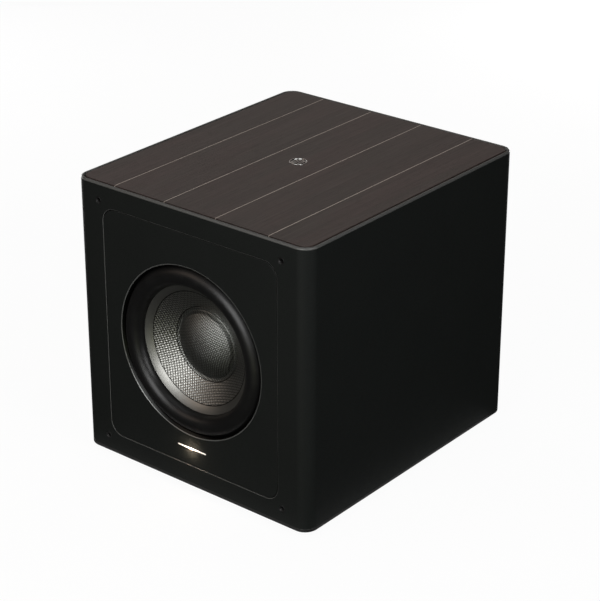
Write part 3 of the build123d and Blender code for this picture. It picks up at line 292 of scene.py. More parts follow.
def woven_fibre(name, weave, tint, rough, hollow, seams=()):
    """Glossy plain-woven fibre in resin: each tow shows its filaments along its own direction.

    Hollow is the share of the tint left in the gaps between tows. Seams are bands (inner, outer)
    round the driver axis where the resin line at a joint shows dark.
    """
    pitch, turn = weave
    f = Finish(name, Metallic=1.0)
    radius = from_driver_axis(f)
    offset = {0: f.place, 1: (AXIS_X, 0, AXIS_Z)}
    from_axis = f.add("ShaderNodeVectorMath", offset, operation="SUBTRACT").outputs[0]
    turned_by = {"Vector": from_axis, "Angle": turn}
    f.place = f.add("ShaderNodeVectorRotate", turned_by, rotation_type="Y_AXIS").outputs[0]
    x, _, z = f.axes()
    column = f.math("FLOOR", f.math("DIVIDE", x, pitch))
    row = f.math("FLOOR", f.math("DIVIDE", z, pitch))
    over = f.math("FLOORED_MODULO", f.math("ADD", column, row), 2.0)
    along_x = f.noise(2600, 2, stretch=(0.06, 1, 1))
    along_z = f.noise(2600, 2, stretch=(1, 1, 0.06))
    filament = f.mix(over, along_z, along_x)
    edge_x = f.math("PINGPONG", f.math("DIVIDE", x, pitch), 0.5)
    edge_z = f.math("PINGPONG", f.math("DIVIDE", z, pitch), 0.5)
    gap = f.ramp(f.mix(over, edge_x, edge_z), (0.05, 0.0), (0.24, 1.0))
    dark, light = (tuple(c * k for c in tint) for k in (0.65, 1.25))
    colour = f.mix(gap, tuple(c * hollow for c in tint), f.mix(filament, dark, light))
    for inner, outer in seams:
        past = f.math("GREATER_THAN", radius, inner)
        inside = f.math("MULTIPLY", past, f.math("LESS_THAN", radius, outer))
        colour = f.mix(inside, colour, tuple(c * hollow for c in tint))
    f.set("Base Color", colour)
    f.set("Roughness", f.span(filament, rough - 0.06, rough + 0.06))
    f.bump(filament, 0.00004, 0.5)
    return f.material


def woven_cloth(name, dark, light, pitch):
    """Open woven cloth of round threads."""
    f = Finish(name, Roughness=0.9, Sheen_Weight=0.3, Specular_IOR_Level=0.2)
    x, _, z = f.axes()
    warp = f.math("SINE", f.math("MULTIPLY", x, 2 * math.pi / pitch))
    weft = f.math("SINE", f.math("MULTIPLY", z, 2 * math.pi / pitch))
    thread = f.math("MULTIPLY", warp, weft)
    f.set("Base Color", f.mix(f.span(thread, 0.0, 1.0), dark, light))
    f.bump(thread, 0.0001, 0.6)
    return f.material


def wadding():
    """Loose fibre wadding: fuzzy, off-white and matted in clumps."""
    f = Finish("loose_wadding", Roughness=1.0, Sheen_Weight=0.6, Specular_IOR_Level=0.1)
    fuzz = f.noise(260, 6, 0.7, warp=1.2)
    f.set("Base Color", f.mix(fuzz, (0.50, 0.50, 0.48), (0.86, 0.86, 0.84)))
    f.bump(fuzz, 0.0012, 0.8)
    return f.material


def wound(name, dark, light, axis, pitch, rough=0.35, metallic=0.8):
    """Closely wound wire or tape, its turns stacked along one axis."""
    f = Finish(name, Metallic=metallic, Roughness=rough)
    turns = f.math("SINE", f.math("MULTIPLY", f.axes()[axis], 2 * math.pi / pitch))
    tint = f.noise(90, 3)
    f.set("Base Color", f.mix(f.math("MULTIPLY", f.span(turns, 0.0, 1.0), tint), dark, light))
    f.bump(turns, pitch * 0.3, 0.7)
    return f.material


def circuit_board():
    """Green solder mask over a grid of copper tracks."""
    f = Finish("circuit_board", Roughness=0.35, Coat_Weight=0.3)
    tracks = f.cells(170, feature="DISTANCE_TO_EDGE")
    track = f.ramp(tracks, (0.05, 1.0), (0.10, 0.0))
    f.set("Base Color", f.mix(track, (0.010, 0.075, 0.028), (0.022, 0.17, 0.06)))
    f.bump(track, 0.00004, 0.6)
    return f.material


def lit_lens(centre, half_length, half_height):
    """Frosted light bar: brightest along its middle, fading towards its ends and edges."""
    f = Finish("lit_lens", Roughness=0.4)
    x = f.math("SUBTRACT", f.axes()[0], centre[0])
    reach = f.math("DIVIDE", f.math("ABSOLUTE", x), half_length)
    glow = f.ramp(reach, (0.0, 1.0), (0.30, 0.72), (0.70, 0.50), (1.0, 0.42))
    z = f.math("SUBTRACT", f.axes()[2], centre[2])
    across = f.math("DIVIDE", f.math("ABSOLUTE", z), half_height)
    core = f.ramp(across, (0.0, 1.0), (0.45, 0.85), (0.85, 0.22), (1.0, 0.12))
    grain = f.span(f.noise(700, 3), 0.85, 1.1)
    f.set("Base Color", f.mix(reach, (0.9, 0.85, 0.78), (0.55, 0.5, 0.45)))
    f.set("Emission Color", f.mix(reach, (1.0, 0.92, 0.86), (0.93, 0.90, 0.86)))
    strength = f.math("MULTIPLY", f.math("MULTIPLY", glow, core), f.math("MULTIPLY", grain, LENS_GLOW))
    f.set("Emission Strength", strength)
    f.bump(grain, 0.00002, 0.3)
    return f.material


def pale_floor():
    """Pale light-table floor: bright to the camera, dim to the object, with a faint shadow."""
    f = Finish("pale_floor", Roughness=0.9, Specular_IOR_Level=0.0)
    f.set("Base Color", f.mix(f.noise(3, 2), (0.045, 0.045, 0.045), (0.055, 0.055, 0.055)))
    seen = f.add("ShaderNodeLightPath").outputs["Is Camera Ray"]
    f.set("Emission Color", (1.0, 1.0, 1.0))
    f.set("Emission Strength", f.span(seen, FLOOR_GLOW_TO_OBJECT, FLOOR_GLOW_TO_CAMERA))
    return f.material


# ---------------------------------------------------------------- places taken from the frame
bezel_low, bezel_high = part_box("driver_bezel")
AXIS_X = (bezel_low.x + bezel_high.x) / 2
AXIS_Z = (bezel_low.z + bezel_high.z) / 2
FRONT_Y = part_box("cabinet_leather")[0].y


def placed(name, mesh, materials=()):
    """A new object showing this mesh, with these materials added to it."""
    for material in materials:
        mesh.materials.append(material)
    piece = bpy.data.objects.new(name, mesh)
    bpy.context.scene.collection.objects.link(piece)
    return piece


def smooth(mesh, sharp=None):
    """Smooth shading, creased where the mesh turns by more than the sharp angle in degrees."""
    mesh.polygons.foreach_set("use_smooth", np.ones(len(mesh.polygons), bool))
    if sharp:
        mesh.set_sharp_from_angle(angle=math.radians(sharp))


def drop_cad_normals(mesh):
    """Lets a copied CAD mesh take its shading from its own new shape."""
    if mesh.has_custom_normals:
        mesh.normals_split_custom_set([(0, 0, 0)] * len(mesh.loops))


def mesh_piece(name, vertices, faces, material, sharp=50.0):
    """A smooth-shaded mesh object with outward faces, creased at turns over the sharp angle."""
    mesh = bpy.data.meshes.new(name)
    mesh.from_pydata(vertices, [], faces)
    bm = bmesh.new()
    bm.from_mesh(mesh)
    bmesh.ops.remove_doubles(bm, verts=bm.verts, dist=1e-7)
    bmesh.ops.recalc_face_normals(bm, faces=bm.faces)
    bm.to_mesh(mesh)
    bm.free()
    smooth(mesh, sharp)
    return placed(name, mesh, [material])


def turned(name, profile, segments, material, relief=None, sharp=50.0, axis=None):
    """A solid of revolution from a closed (radius, depth) profile in mm.

    It turns about the driver axis, or about the (x, z) given. Relief, if given, lifts the points of the
    profile marked True towards the front by a height in metres.
    """
    profile = [(r * MM, d * MM, lift) for r, d, lift in ((*p, False)[:3] for p in profile)]
    axis = axis or (AXIS_X, AXIS_Z)
    angles = np.linspace(0, 2 * math.pi, segments, endpoint=False)
    vertices = []
    for radius, depth, lift in profile:
        x = axis[0] + radius * np.cos(angles)
        z = axis[1] + radius * np.sin(angles)
        y = np.full(segments, FRONT_Y + depth)
        if lift:
            y -= relief(x, z)
        vertices.append(np.stack([x, y, z], 1))
    count = len(profile)
    faces = []
    for i in range(count):
        a, b = i * segments, ((i + 1) % count) * segments
        for j in range(segments):
            k = (j + 1) % segments
            faces.append((a + j, b + j, b + k, a + k))
    return mesh_piece(name, np.concatenate(vertices).tolist(), faces, material, sharp)


def rounded(points, radius, steps=4):
    """The same (radius, depth) loop with each corner rounded."""
    out = []
    count = len(points)
    for i in range(count):
        p = Vector(points[i][:2])
        before = Vector(points[i - 1][:2])
        after = Vector(points[(i + 1) % count][:2])
        reach = min(radius, (before - p).length * 0.45, (after - p).length * 0.45)
        a = p + (before - p).normalized() * reach
        b = p + (after - p).normalized() * reach
        for t in np.linspace(0, 1, steps):
            q = a * (1 - t) ** 2 + p * 2 * t * (1 - t) + b * t**2
            out.append((q.x, q.y))
    return out


def plain_weave(weave):
    """Relief of a plain weave: each tow humps over its neighbour and dives under the next."""
    pitch, turn = weave

    def relief(x, z):
        u = (x * math.cos(turn) + (z - AXIS_Z) * math.sin(turn)) / pitch
        v = ((z - AXIS_Z) * math.cos(turn) - x * math.sin(turn)) / pitch
        over = (np.floor(u) + np.floor(v)) % 2 > 0.5
        hump_u = np.sin(np.pi * (u % 1))
        hump_v = np.sin(np.pi * (v % 1))
        along = np.where(over, hump_u, hump_v)
        across = np.where(over, hump_v, hump_u)
        return WEAVE_HEIGHT * along * across**0.6

    return relief


def blend_round(piece):
    """Bakes a round piece's placement into its mesh and reads its vertex positions."""
    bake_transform(piece)
    place = np.zeros(len(piece.data.vertices) * 3)
    piece.data.vertices.foreach_get("co", place)
    place = place.reshape(-1, 3)


# ---------------------------------------------------------------- driver
ROLL_MID, ROLL_DEPTH, ROLL_RADIUS, ROLL_SKIN = 111.5, 11.8, 15.3, 2.0
RING_OUTER, RING_INNER, RING_DEPTH = 96.1, 85.6, 12.0
CONE_SLOPE = 0.594
NECK = 32.2


def on_cone(radius, behind=0.0, lift=False):
    """(radius, depth) on the cone's front surface, or this deep behind it."""
    return (radius, RING_DEPTH + CONE_SLOPE * (RING_OUTER - radius) + behind, lift)


def on_roll(radius, angle):
    """(radius, depth) on the half roll, at this angle in degrees from its crest, outwards."""
    turn = math.radians(angle)
    return (ROLL_MID + radius * math.sin(turn), ROLL_DEPTH - radius * math.cos(turn))


def surround(rubber):
    """Half-roll rubber surround with a glued outer land and an inner lip behind the cone's ring."""
    low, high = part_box("surround")
    land = (high.x - low.x) / 2 / MM
    outside = [on_roll(ROLL_RADIUS, angle) for angle in np.linspace(76, -91, 90)]
    inside = [on_roll(ROLL_RADIUS - ROLL_SKIN, angle) for angle in np.linspace(-86, 88, 40)]
    lip = [(96.25, 13.1), on_cone(89.1, 1.3), on_cone(89.1, 2.5)]
    foot = [(land, 11.45), (land, 8.55), (126.9, 8.5)]
    piece = turned("surround_roll", foot + outside + lip + inside, 288, rubber, sharp=60)
    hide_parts("surround")
    blend_round(piece)


def cone(cone_fibre, cap_fibre, grey):
    """Woven cone, the smooth moulded ring at its edge and the woven dust cap with its glue flange."""
    front = [on_cone(r, lift=True) for r in np.linspace(RING_INNER - 0.15, NECK, 150)]
    back = [(31.9, on_cone(NECK)[1] + 0.2), (31.9, 56.9), (32.9, 56.9), on_cone(32.9, 1.3)]
    back += [on_cone(83.0, 1.3), on_cone(84.0, 2.6), on_cone(88.7, 2.6), on_cone(88.7, 1.3)]
    back += [on_cone(85.4, 1.3)]
    weave = plain_weave(CONE_WEAVE)
    body = turned("woven_cone", front + back, 1080, cone_fibre, relief=weave, sharp=40)
    section = [on_cone(RING_OUTER), on_cone(RING_INNER)]
    section += [on_cone(RING_INNER, 1.1), on_cone(RING_OUTER, 1.1)]
    edge = turned("cone_edge_ring", rounded(section, 0.35), 288, grey, sharp=60)
    sphere, centre, knee = 76.5, 92.5, 47.6
    dome = [(r, centre - math.sqrt(sphere**2 - r**2), True) for r in np.linspace(0.0, knee - 0.7, 110)]
    skirt = [(knee, 32.75), (48.3, 33.6), (48.8, 34.8), (49.4, 35.8)]
    skirt += [(49.8, 36.6), (50.4, 37.2), (51.2, 37.5)]
    flange = [on_cone(r, -0.6, True) for r in np.linspace(52.2, 55.0, 8)]
    flange += [on_cone(55.4, -0.4), on_cone(55.4, -0.06)]
    hollow = sphere - 0.8
    under = [(r, centre - math.sqrt(hollow**2 - r**2)) for r in np.linspace(46.8, 0.0, 12)]
    profile = dome + skirt + flange + [on_cone(49.0, -0.06)] + under
    weave = plain_weave(CAP_WEAVE)
    cap = turned("woven_dust_cap", profile, 900, cap_fibre, relief=weave, sharp=40)
    for piece, node, slot in (
        (body, "cone", "woven_cone"),
        (edge, "cone_ring", "cone_edge"),
        (cap, "dust_cap", "woven_cone"),
    ):
        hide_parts(node)
        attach(piece, "moving_cone")


def spider(cloth):
    """Corrugated cloth spider that centres the coil: twelve half waves between two flat lands."""
    low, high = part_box("spider")
    middle = ((low.y + high.y) / 2 - FRONT_Y) / MM
    rim = (high.x - low.x) / 2 / MM
    radii = np.linspace(32.3, rim, 150)
    swell = np.where((radii > 38) & (radii < 72), np.sin((radii - 38) / 34 * 12 * np.pi), 0.0)
    top = [(r, middle - 0.3 - 1.45 * s) for r, s in zip(radii, swell)]
    under = [(r, middle + 0.3 - 1.45 * s) for r, s in zip(radii[::-1], swell[::-1])]
    piece = turned("spider_waves", top + under, 192, cloth, sharp=60)
    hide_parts("spider")
    blend_round(piece)


def tube(name, path, radius, material, sides=16):
    """A round cable along a smooth path of points in metres, as a closed mesh."""
    points = [Vector(p) for p in path]
    rings = []
    side = Vector((1, 0, 0))
    for i, here in enumerate(points):
        ahead = points[min(i + 1, len(points) - 1)] - points[max(i - 1, 0)]
        ahead.normalize()
        side = (side - ahead * side.dot(ahead)).normalized()
        up = ahead.cross(side)
        for k in range(sides):
            t = 2 * math.pi * k / sides
            rings.append(here + (side * math.cos(t) + up * math.sin(t)) * radius)
    faces = []
    for i in range(len(points) - 1):
        for k in range(sides):
            a, b = i * sides, (i + 1) * sides
            faces.append((a + k, a + (k + 1) % sides, b + (k + 1) % sides, b + k))
    faces.append(tuple(range(sides))[::-1])
    last = (len(points) - 1) * sides
    faces.append(tuple(range(last, last + sides)))
    return mesh_piece(name, [tuple(v) for v in rings], faces, material, 60)


def smooth_path(points, steps):
    """Catmull-Rom curve through points in metres."""
    p = [Vector(q) for q in points]
    p = [p[0] * 2 - p[1]] + p + [p[-1] * 2 - p[-2]]
    out = []
    for i in range(1, len(p) - 2):
        a, b, c, d = p[i - 1 : i + 3]
        for t in np.linspace(0, 1, steps, endpoint=False):
            bend = (2 * a - 5 * b + 4 * c - d) * t**2 + (3 * b - a - 3 * c + d) * t**3
            out.append(0.5 * (2 * b + (c - a) * t + bend))
    return out + [p[-2]]


def tinsel_leads(copper):
    """Two braided leads that loop between the cone and the terminals."""
    low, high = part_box("tinsel_leads")
    for side, name in ((-1, "tinsel_lead_left"), (1, "tinsel_lead_right")):
        x = side * 9.0 * MM
        path = [(x, FRONT_Y + 0.0442, low.z + 0.001)]
        path += [(x, FRONT_Y + d * MM, AXIS_Z + h * MM) for d, h in ((57, 62), (48, 80))]
        path += [(x, FRONT_Y + 0.056, high.z - 0.0012)]
        piece = tube(name, smooth_path(path, 16), 1.0 * MM, copper)
        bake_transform(piece)
        if side < 0:
            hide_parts("tinsel_leads")


def grille_sockets(rubber):
    """Four rubber sockets, each with a flared mouth that guides the grille's peg in."""
    low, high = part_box("grille_sockets")
    radius = 5.0
    depth = (high.y - low.y) / MM
    bore, floor = 2.9, 12.0
    mouth = [(radius, 0.35), (radius - 0.3, 0.0), (radius - 0.75, 0.1), (3.4, 1.3), (bore, 2.2)]
    section = mouth + [(bore, floor), (0.0, floor), (0.0, depth), (radius, depth)]
    left, right = low.x + radius * MM, high.x - radius * MM
    bottom, top = low.z + radius * MM, high.z - radius * MM
    for name, axis in (
        ("lower_left", (left, bottom)),
        ("upper_left", (left, top)),
        ("lower_right", (right, bottom)),
        ("upper_right", (right, top)),
    ):
        piece = turned("grille_socket_" + name, section, 48, rubber, sharp=40, axis=axis)
        if name == "lower_left":
            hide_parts("grille_sockets")
        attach(piece, "cabinet")


# ---------------------------------------------------------------- leather and soft pieces
SEAM_LOW, SEAM_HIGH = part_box("insert_leather")


def on_groove(place):
    """Whether a point lies on the seam between the cabinet's leather and the front panel's."""
    middle = (SEAM_LOW + SEAM_HIGH) / 2
    half = (SEAM_HIGH - SEAM_LOW) / 2
    out = max(abs(place.x - middle.x) - half.x, abs(place.z - middle.z) - half.z)
    return place.y < FRONT_Y + 1.2 * MM and -10 * MM < out < 2.5 * MM


def soft_copy(node, name, material, edge, width):
    """The same shell as a CAD node, its creases rolled over, with a painted highlight on the rolled
    edges along the front seam.
    """
    mesh = frame["nodes"][node].data.copy()
    mesh.name = name
    bm = bmesh.new()
    bm.from_mesh(mesh)
    bmesh.ops.remove_doubles(bm, verts=bm.verts, dist=1e-6)
    bmesh.ops.dissolve_limit(bm, angle_limit=math.radians(0.4), verts=bm.verts, edges=bm.edges)
    crease = [e for e in bm.edges if len(e.link_faces) == 2 and e.calc_face_angle() > math.radians(40)]
    rolled = bmesh.ops.bevel(bm, geom=crease, offset=width, segments=4, profile=0.5, affect="EDGES")
    for face in rolled["faces"]:
        # rolled faces on the front seam take the second, light material: a painted highlight along the
        # seam
        face.material_index = int(on_groove(face.calc_center_median()))
    bmesh.ops.triangulate(bm, faces=[f for f in bm.faces if len(f.verts) > 4])
    mesh.materials.clear()
    mesh.materials.append(material)
    mesh.materials.append(edge)
    bm.to_mesh(mesh)
    bm.free()
    drop_cad_normals(mesh)
    smooth(mesh, 30)
    piece = placed(name, mesh)
    even = piece.modifiers.new("even_shading", "WEIGHTED_NORMAL")
    even.weight = 100
    even.keep_sharp = True
    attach(piece, frame["nodes"][node]["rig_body"])
    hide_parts(node)


def trim_band(finish):
    """The top trim with its inner face laid back, leaving an open shadow groove round the wood."""
    low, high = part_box("top_trim")
    mesh = frame["nodes"]["top_trim"].data.copy()
    mesh.name = "top_trim_band"
    bm = bmesh.new()
    bm.from_mesh(mesh)
    bmesh.ops.remove_doubles(bm, verts=bm.verts, dist=1e-6)
    core = Vector(((high.x - low.x) / 2 - TRIM_CORNER, (high.y - low.y) / 2 - TRIM_CORNER))
    for v in bm.verts:
        side = Vector((math.copysign(1, v.co.x), math.copysign(1, v.co.y)))
        past = Vector((abs(v.co.x) - core.x, abs(v.co.y) - core.y))
        corner = Vector((max(past.x, 0.0), max(past.y, 0.0)))
        inset = TRIM_CORNER - corner.length
        if v.co.z > high.z - 0.2 * MM and abs(inset - TRIM_WIDTH) < 0.3 * MM:
            out = corner.normalized()
            v.co.x += side.x * out.x * SHADOW_GROOVE
            v.co.y += side.y * out.y * SHADOW_GROOVE
    bm.to_mesh(mesh)
    bm.free()
    drop_cad_normals(mesh)
    smooth(mesh, 30)
    mesh.materials.clear()
    piece = placed("top_trim_band", mesh, [finish])
    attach(piece, "cabinet")
    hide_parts("top_trim")


def wadding_pads(fuzzy):
    """Two loose wadding pads: lumpy, crowned blocks a little inside their CAD solids."""
    low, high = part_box("acoustic_wadding")
    pad = 26.0 * MM
    for side, name in ((-1, "wadding_pad_left"), (1, "wadding_pad_right")):
        x0, x1 = (low.x, low.x + pad) if side < 0 else (high.x - pad, high.x)
        bm = bmesh.new()
        bmesh.ops.create_cube(bm, size=1.0)
        bmesh.ops.subdivide_edges(bm, edges=bm.edges, cuts=22, use_grid_fill=True)
        middle = Vector(((x0 + x1) / 2, (low.y + high.y) / 2, (low.z + high.z) / 2))
        half = Vector(((x1 - x0) / 2, (high.y - low.y) / 2, (high.z - low.z) / 2)) * 0.985
        for v in bm.verts:
            u = v.co * 2
            pull = 1 - 0.35 * max(abs(u.y), abs(u.z)) ** 6
            lump = 0.06 * math.sin(7 * u.y + 3 * u.z) * math.sin(5 * u.z - 2 * u.y) - 0.06
            swell = Vector((u.x * half.x * (pull + lump), u.y * half.y * 0.99, u.z * half.z * 0.99))
            v.co = middle + swell
        mesh = bpy.data.meshes.new(name)
        bm.to_mesh(mesh)
        bm.free()
        smooth(mesh)
        piece = placed(name, mesh, [fuzzy])
        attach(piece, "cabinet")
        if side < 0:
            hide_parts("acoustic_wadding")


# ---------------------------------------------------------------- finishes on the CAD nodes
def paint(material, *names):
    """Gives CAD nodes a finish."""
    for name in names:
        slots = frame["nodes"][name].data.materials
        slots.clear()
        slots.append(material)


def finish_cad_nodes():
    """Gives every CAD node that still shows its own finish."""
    board = fibreboard()
    paint(board, "left_wall", "right_wall", "back_wall", "bottom_board", "top_board", "window_brace")
    stained = plastic("stained_board", (0.006, 0.006, 0.006), (0.012, 0.012, 0.012), 0.8, 900)
    paint(stained, "front_baffle", "baffle_insert")
    paint(wenge(), "lid_planks")
    paint(maple(), "maple_inlays", "insert_dowels")
    paint(plastic("painted_base", (0.010, 0.010, 0.010), (0.018, 0.018, 0.017), 0.42), "base_plate")
    brushed = (1, 0.05, 1)
    steel = satin_metal("brushed_badge", (0.42, 0.42, 0.41), (0.66, 0.66, 0.65), 0.24, stretch=brushed)
    paint(steel, "badge_ring")
    polished = satin_metal("polished_badge", (0.10, 0.10, 0.10), (0.34, 0.34, 0.33), 0.20, scale=300)
    paint(polished, "badge_face")
    paint(plastic("foot_rubber", (0.010, 0.010, 0.010), (0.022, 0.022, 0.021), 0.45), "rubber_feet")
    foam = plastic("gasket_foam", (0.016, 0.016, 0.016), (0.03, 0.03, 0.03), 0.8, 700, 0.0002)
    paint(foam, "basket_gasket", "amp_gasket")
    paint(bezel_paint(), "driver_bezel")
    low, high = (0.016, 0.016, 0.016), (0.034, 0.034, 0.034)
    powder = satin_metal("powder_coat", low, high, 0.5, 0.2, scale=1500)
    paint(powder, "driver_basket")
    screw = satin_metal("black_screws", (0.025, 0.025, 0.025), (0.06, 0.06, 0.06), 0.32, 0.9)
    paint(screw, "basket_screws", "amp_screws", "foot_screws")
    zinc = satin_metal("zinc_steel", (0.36, 0.36, 0.34), (0.52, 0.52, 0.49), 0.36, scale=240)
    paint(zinc, "top_plate", "yoke")
    ferrite = plastic("ground_ferrite", (0.035, 0.035, 0.038), (0.07, 0.07, 0.072), 0.6, 900)
    paint(ferrite, "magnet_rings")
    paint(plastic("amber_film", (0.30, 0.12, 0.02), (0.45, 0.22, 0.05), 0.25), "coil_former")
    copper = wound("copper_wire", (0.30, 0.10, 0.04), (0.75, 0.33, 0.17), 1, 0.0004)
    paint(copper, "coil_winding")
    brass = satin_metal("plated_brass", (0.55, 0.40, 0.16), (0.78, 0.62, 0.30), 0.28)
    paint(brass, "driver_terminals")
    nickel = satin_metal("nickel", (0.50, 0.50, 0.48), (0.70, 0.70, 0.68), 0.22)
    paint(nickel, "pot_bodies", "level_shaft", "crossover_shaft", "rca_jacks", "mains_pins")
    low, high = (0.016, 0.016, 0.017), (0.040, 0.040, 0.041)
    anodised = satin_metal("black_anodised", low, high, 0.42, 0.6, scale=1600)
    paint(anodised, "amp_plate")
    soft = plastic("soft_black_plastic", (0.010, 0.010, 0.010), (0.020, 0.020, 0.020), 0.5)
    paint(soft, "level_knob", "crossover_knob", "phase_switch_case", "mains_inlet", "rocker_case")
    gloss = plastic("gloss_black_plastic", (0.008, 0.008, 0.008), (0.016, 0.016, 0.016), 0.22)
    paint(gloss, "phase_slider", "fuse_drawer", "power_rocker")
    green = circuit_board()
    paint(green, "status_board", "control_board", "power_board")
    paint(plastic("can_sleeve", (0.010, 0.014, 0.05), (0.02, 0.03, 0.09), 0.3), "capacitors")
    paint(wound("core_tape", (0.32, 0.24, 0.04), (0.70, 0.55, 0.14), 2, 0.012, 0.5, 0.0), "transformer")
    paint(plastic("cable_skin", (0.05, 0.006, 0.006), (0.09, 0.014, 0.012), 0.45), "driver_cables")
    low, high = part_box("status_lens")
    paint(lit_lens((low + high) / 2, LENS_HALF_LENGTH, (high.z - low.z) / 2), "status_lens")


def ease_edges(width, *names):
    """Rounds the sharp edges of CAD nodes a little, as machining and moulding leave them."""
    for name in names:
        node = frame["nodes"][name]
        weld = node.modifiers.new("weld", "WELD")
        weld.merge_threshold = 1e-5
        flatten = node.modifiers.new("flatten", "DECIMATE")
        flatten.decimate_type = "DISSOLVE"
        flatten.angle_limit = math.radians(0.5)
        ease = node.modifiers.new("ease", "BEVEL")
        ease.width = width
        ease.segments = 2
        ease.limit_method = "ANGLE"
        ease.angle_limit = math.radians(35)


# ---------------------------------------------------------------- stage
def camera():
    """Long-lens view from the front right and above."""
    unit = 0.4237
    azimuth, elevation, roll = math.radians(40.534), math.radians(24.604), math.radians(-0.544)
    distance = 6.949 * unit
    target = Vector((-0.1923 * unit, 0.0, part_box("base_plate")[0].z + 0.5 * unit))
    back = Vector(
        (
            math.sin(azimuth) * math.cos(elevation),
            -math.cos(azimuth) * math.cos(elevation),
            math.sin(elevation),
        )
    )
    data = bpy.data.cameras.new("camera")
    cam = bpy.data.objects.new("camera", data)
    bpy.context.scene.collection.objects.link(cam)
    cam.location = target + back * distance
    cam.rotation_mode = "QUATERNION"
    level = (-back).to_track_quat("-Z", "Y")
    cam.rotation_quaternion = level @ Quaternion((0, 0, 1), roll)
    data.sensor_width = 36.0
    data.lens = 118.37
    data.shift_x = 0.0734
    data.shift_y = -0.0294
    data.clip_start = 0.05
    data.clip_end = 200.0
    bpy.context.scene.camera = cam


def softbox(name, direction, distance, width, height, power, colour=(1, 1, 1)):
    """A rectangular soft light aimed at the driver's height from a direction round the cabinet."""
    data = bpy.data.lights.new(name, "AREA")
    data.shape = "RECTANGLE"
    data.size = width
    data.size_y = height
    data.energy = power
    data.color = colour
    light = bpy.data.objects.new(name, data)
    aim = Vector((0, 0, AXIS_Z))
    out = Vector(direction).normalized()
    light.location = aim + out * distance
    light.rotation_mode = "QUATERNION"
    light.rotation_quaternion = out.to_track_quat("Z", "Y")
    light.visible_camera = False
    bpy.context.scene.collection.objects.link(light)


def foot_glow(name, place, turn):
    """A thin strip on the floor that lifts the bottom edge of one face."""
    data = bpy.data.lights.new(name, "AREA")
    data.shape = "RECTANGLE"
    data.size = 0.44
    data.size_y = 0.008
    data.energy = FOOT_GLOW
    light = bpy.data.objects.new(name, data)
    light.location = place
    light.rotation_euler = (math.pi, 0, turn)
    light.visible_camera = False
    bpy.context.scene.collection.objects.link(light)


def halo(lens):
    """The light bar's spill on the leather round its middle."""
    data = bpy.data.lights.new("bar_halo", "POINT")
    data.energy = HALO
    data.color = (1.0, 0.74, 0.56)
    data.shadow_soft_size = 0.004
    light = bpy.data.objects.new("bar_halo", data)
    light.location = (lens.x - 0.001, FRONT_Y - 0.008, lens.z - 0.002)
    light.visible_camera = False
    light.visible_glossy = False
    bpy.context.scene.collection.objects.link(light)


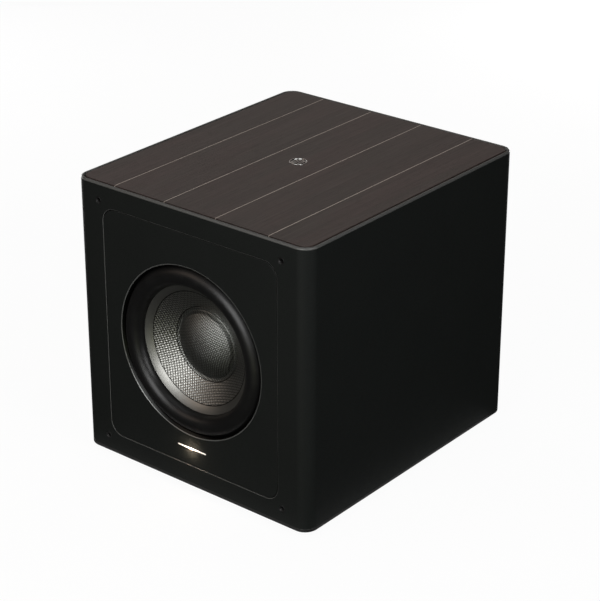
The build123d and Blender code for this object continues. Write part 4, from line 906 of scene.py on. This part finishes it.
def stage():
    """Pale floor and surroundings, and soft studio lights round the cabinet."""
    bpy.ops.mesh.primitive_plane_add(size=60, location=(0, 0, 0))
    floor = bpy.context.object
    floor.name = "pale_floor"
    floor.data.materials.append(pale_floor())
    world = bpy.data.worlds.new("studio")
    bpy.context.scene.world = world
    world.use_nodes = True
    nodes, links = world.node_tree.nodes, world.node_tree.links
    seen = nodes.new("ShaderNodeLightPath")
    level = nodes.new("ShaderNodeMapRange")
    level.inputs["To Min"].default_value = SKY_TO_OBJECT
    level.inputs["To Max"].default_value = SKY_TO_CAMERA
    links.new(seen.outputs["Is Camera Ray"], level.inputs["Value"])
    links.new(level.outputs["Result"], nodes["Background"].inputs["Strength"])
    nodes["Background"].inputs["Color"].default_value = (1, 1, 1, 1)
    softbox("main_softbox", (0.184, -0.920, 0.345), 2.2, 1.3, 1.3, 25)
    softbox("warm_left_softbox", (-0.51, -0.70, 0.51), 2.3, 1.0, 1.0, 4, (1.0, 0.80, 0.66))
    softbox("right_softbox", (0.88, -0.24, 0.41), 2.4, 1.2, 1.2, 24)
    softbox("overhead_softbox", (-0.05, 0.0, 1.0), 2.4, 2.0, 2.0, 11.1)
    softbox("back_left_sheen", (-0.60, 0.69, 0.42), 2.8, 2.0, 1.2, 4, (1.0, 0.88, 0.82))
    softbox("left_rim_softbox", (-0.95, 0.25, 0.12), 2.4, 0.8, 1.6, 8)
    softbox("rear_softbox", (-0.15, 0.985, -0.02), 2.4, 1.0, 0.42, 30)
    softbox("left_side_softbox", (-0.985, 0.17, -0.02), 2.4, 0.9, 0.42, 22)
    softbox("olive_low_softbox", (0.34, -0.91, -0.19), 0.9, 0.5, 0.12, 0.12, (0.95, 1.0, 0.50))
    for name, place, turn in (
        ("front_foot_glow", (0, FRONT_Y - 0.012, 0.004), 0.0),
        ("right_foot_glow", (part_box("cabinet_leather")[1].x + 0.012, 0, 0.004), math.pi / 2),
    ):
        foot_glow(name, place, turn)
    lens = (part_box("status_lens")[0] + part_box("status_lens")[1]) / 2
    halo(lens)
    view = bpy.context.scene.view_settings
    view.view_transform = "Standard"
    view.look = "None"


# ---------------------------------------------------------------- build
finish_cad_nodes()
ease_edges(0.35 * MM, "amp_plate", "mains_inlet", "rocker_case", "fuse_drawer")
ease_edges(0.35 * MM, "power_rocker", "phase_switch_case")
ease_edges(0.25 * MM, "level_knob", "crossover_knob", "driver_terminals", "amp_screws", "foot_screws")
black = leather("black_leather", (0.0078, 0.0092, 0.0085), (0.0104, 0.0120, 0.0111), 0.20)
# light leather colour for the seam's rolled edges: a painted highlight in place of light caught on the
# bevels
seam_highlight_leather = leather("painted_highlight_edge", (0.090, 0.094, 0.090), (0.125, 0.129, 0.123), 0.4)
soft_copy("cabinet_leather", "leather_wrap", black, seam_highlight_leather, 0.55 * MM)
soft_copy("insert_leather", "front_panel_leather", black, seam_highlight_leather, 0.5 * MM)
dull, bright = (0.0035, 0.0035, 0.0035), (0.006, 0.006, 0.006)
surround(plastic("surround_rubber", dull, bright, 0.36, 2500, 0.00002, 0.45))
cone(
    woven_fibre("cone_fibre", CONE_WEAVE, (0.37, 0.37, 0.35), 0.37, 0.10, CONE_SEAMS),
    woven_fibre("cap_fibre", CAP_WEAVE, (0.23, 0.235, 0.222), 0.43, 0.02),
    satin_metal("grey_cone_edge", (0.25, 0.25, 0.235), (0.30, 0.30, 0.285), 0.40, 1.0),
)
spider(woven_cloth("spider_cloth", (0.22, 0.14, 0.03), (0.42, 0.29, 0.09), 0.9 * MM))
trim_band(satin_metal("graphite_trim", (0.086, 0.087, 0.084), (0.112, 0.113, 0.109), 0.45, 0.3))
grille_sockets(plastic("socket_rubber", (0.008, 0.008, 0.008), (0.015, 0.015, 0.0145), 0.42))
tinsel_leads(wound("braided_lead", (0.35, 0.15, 0.07), (0.80, 0.42, 0.24), 2, 0.0008))
wadding_pads(wadding())
camera()
stage()
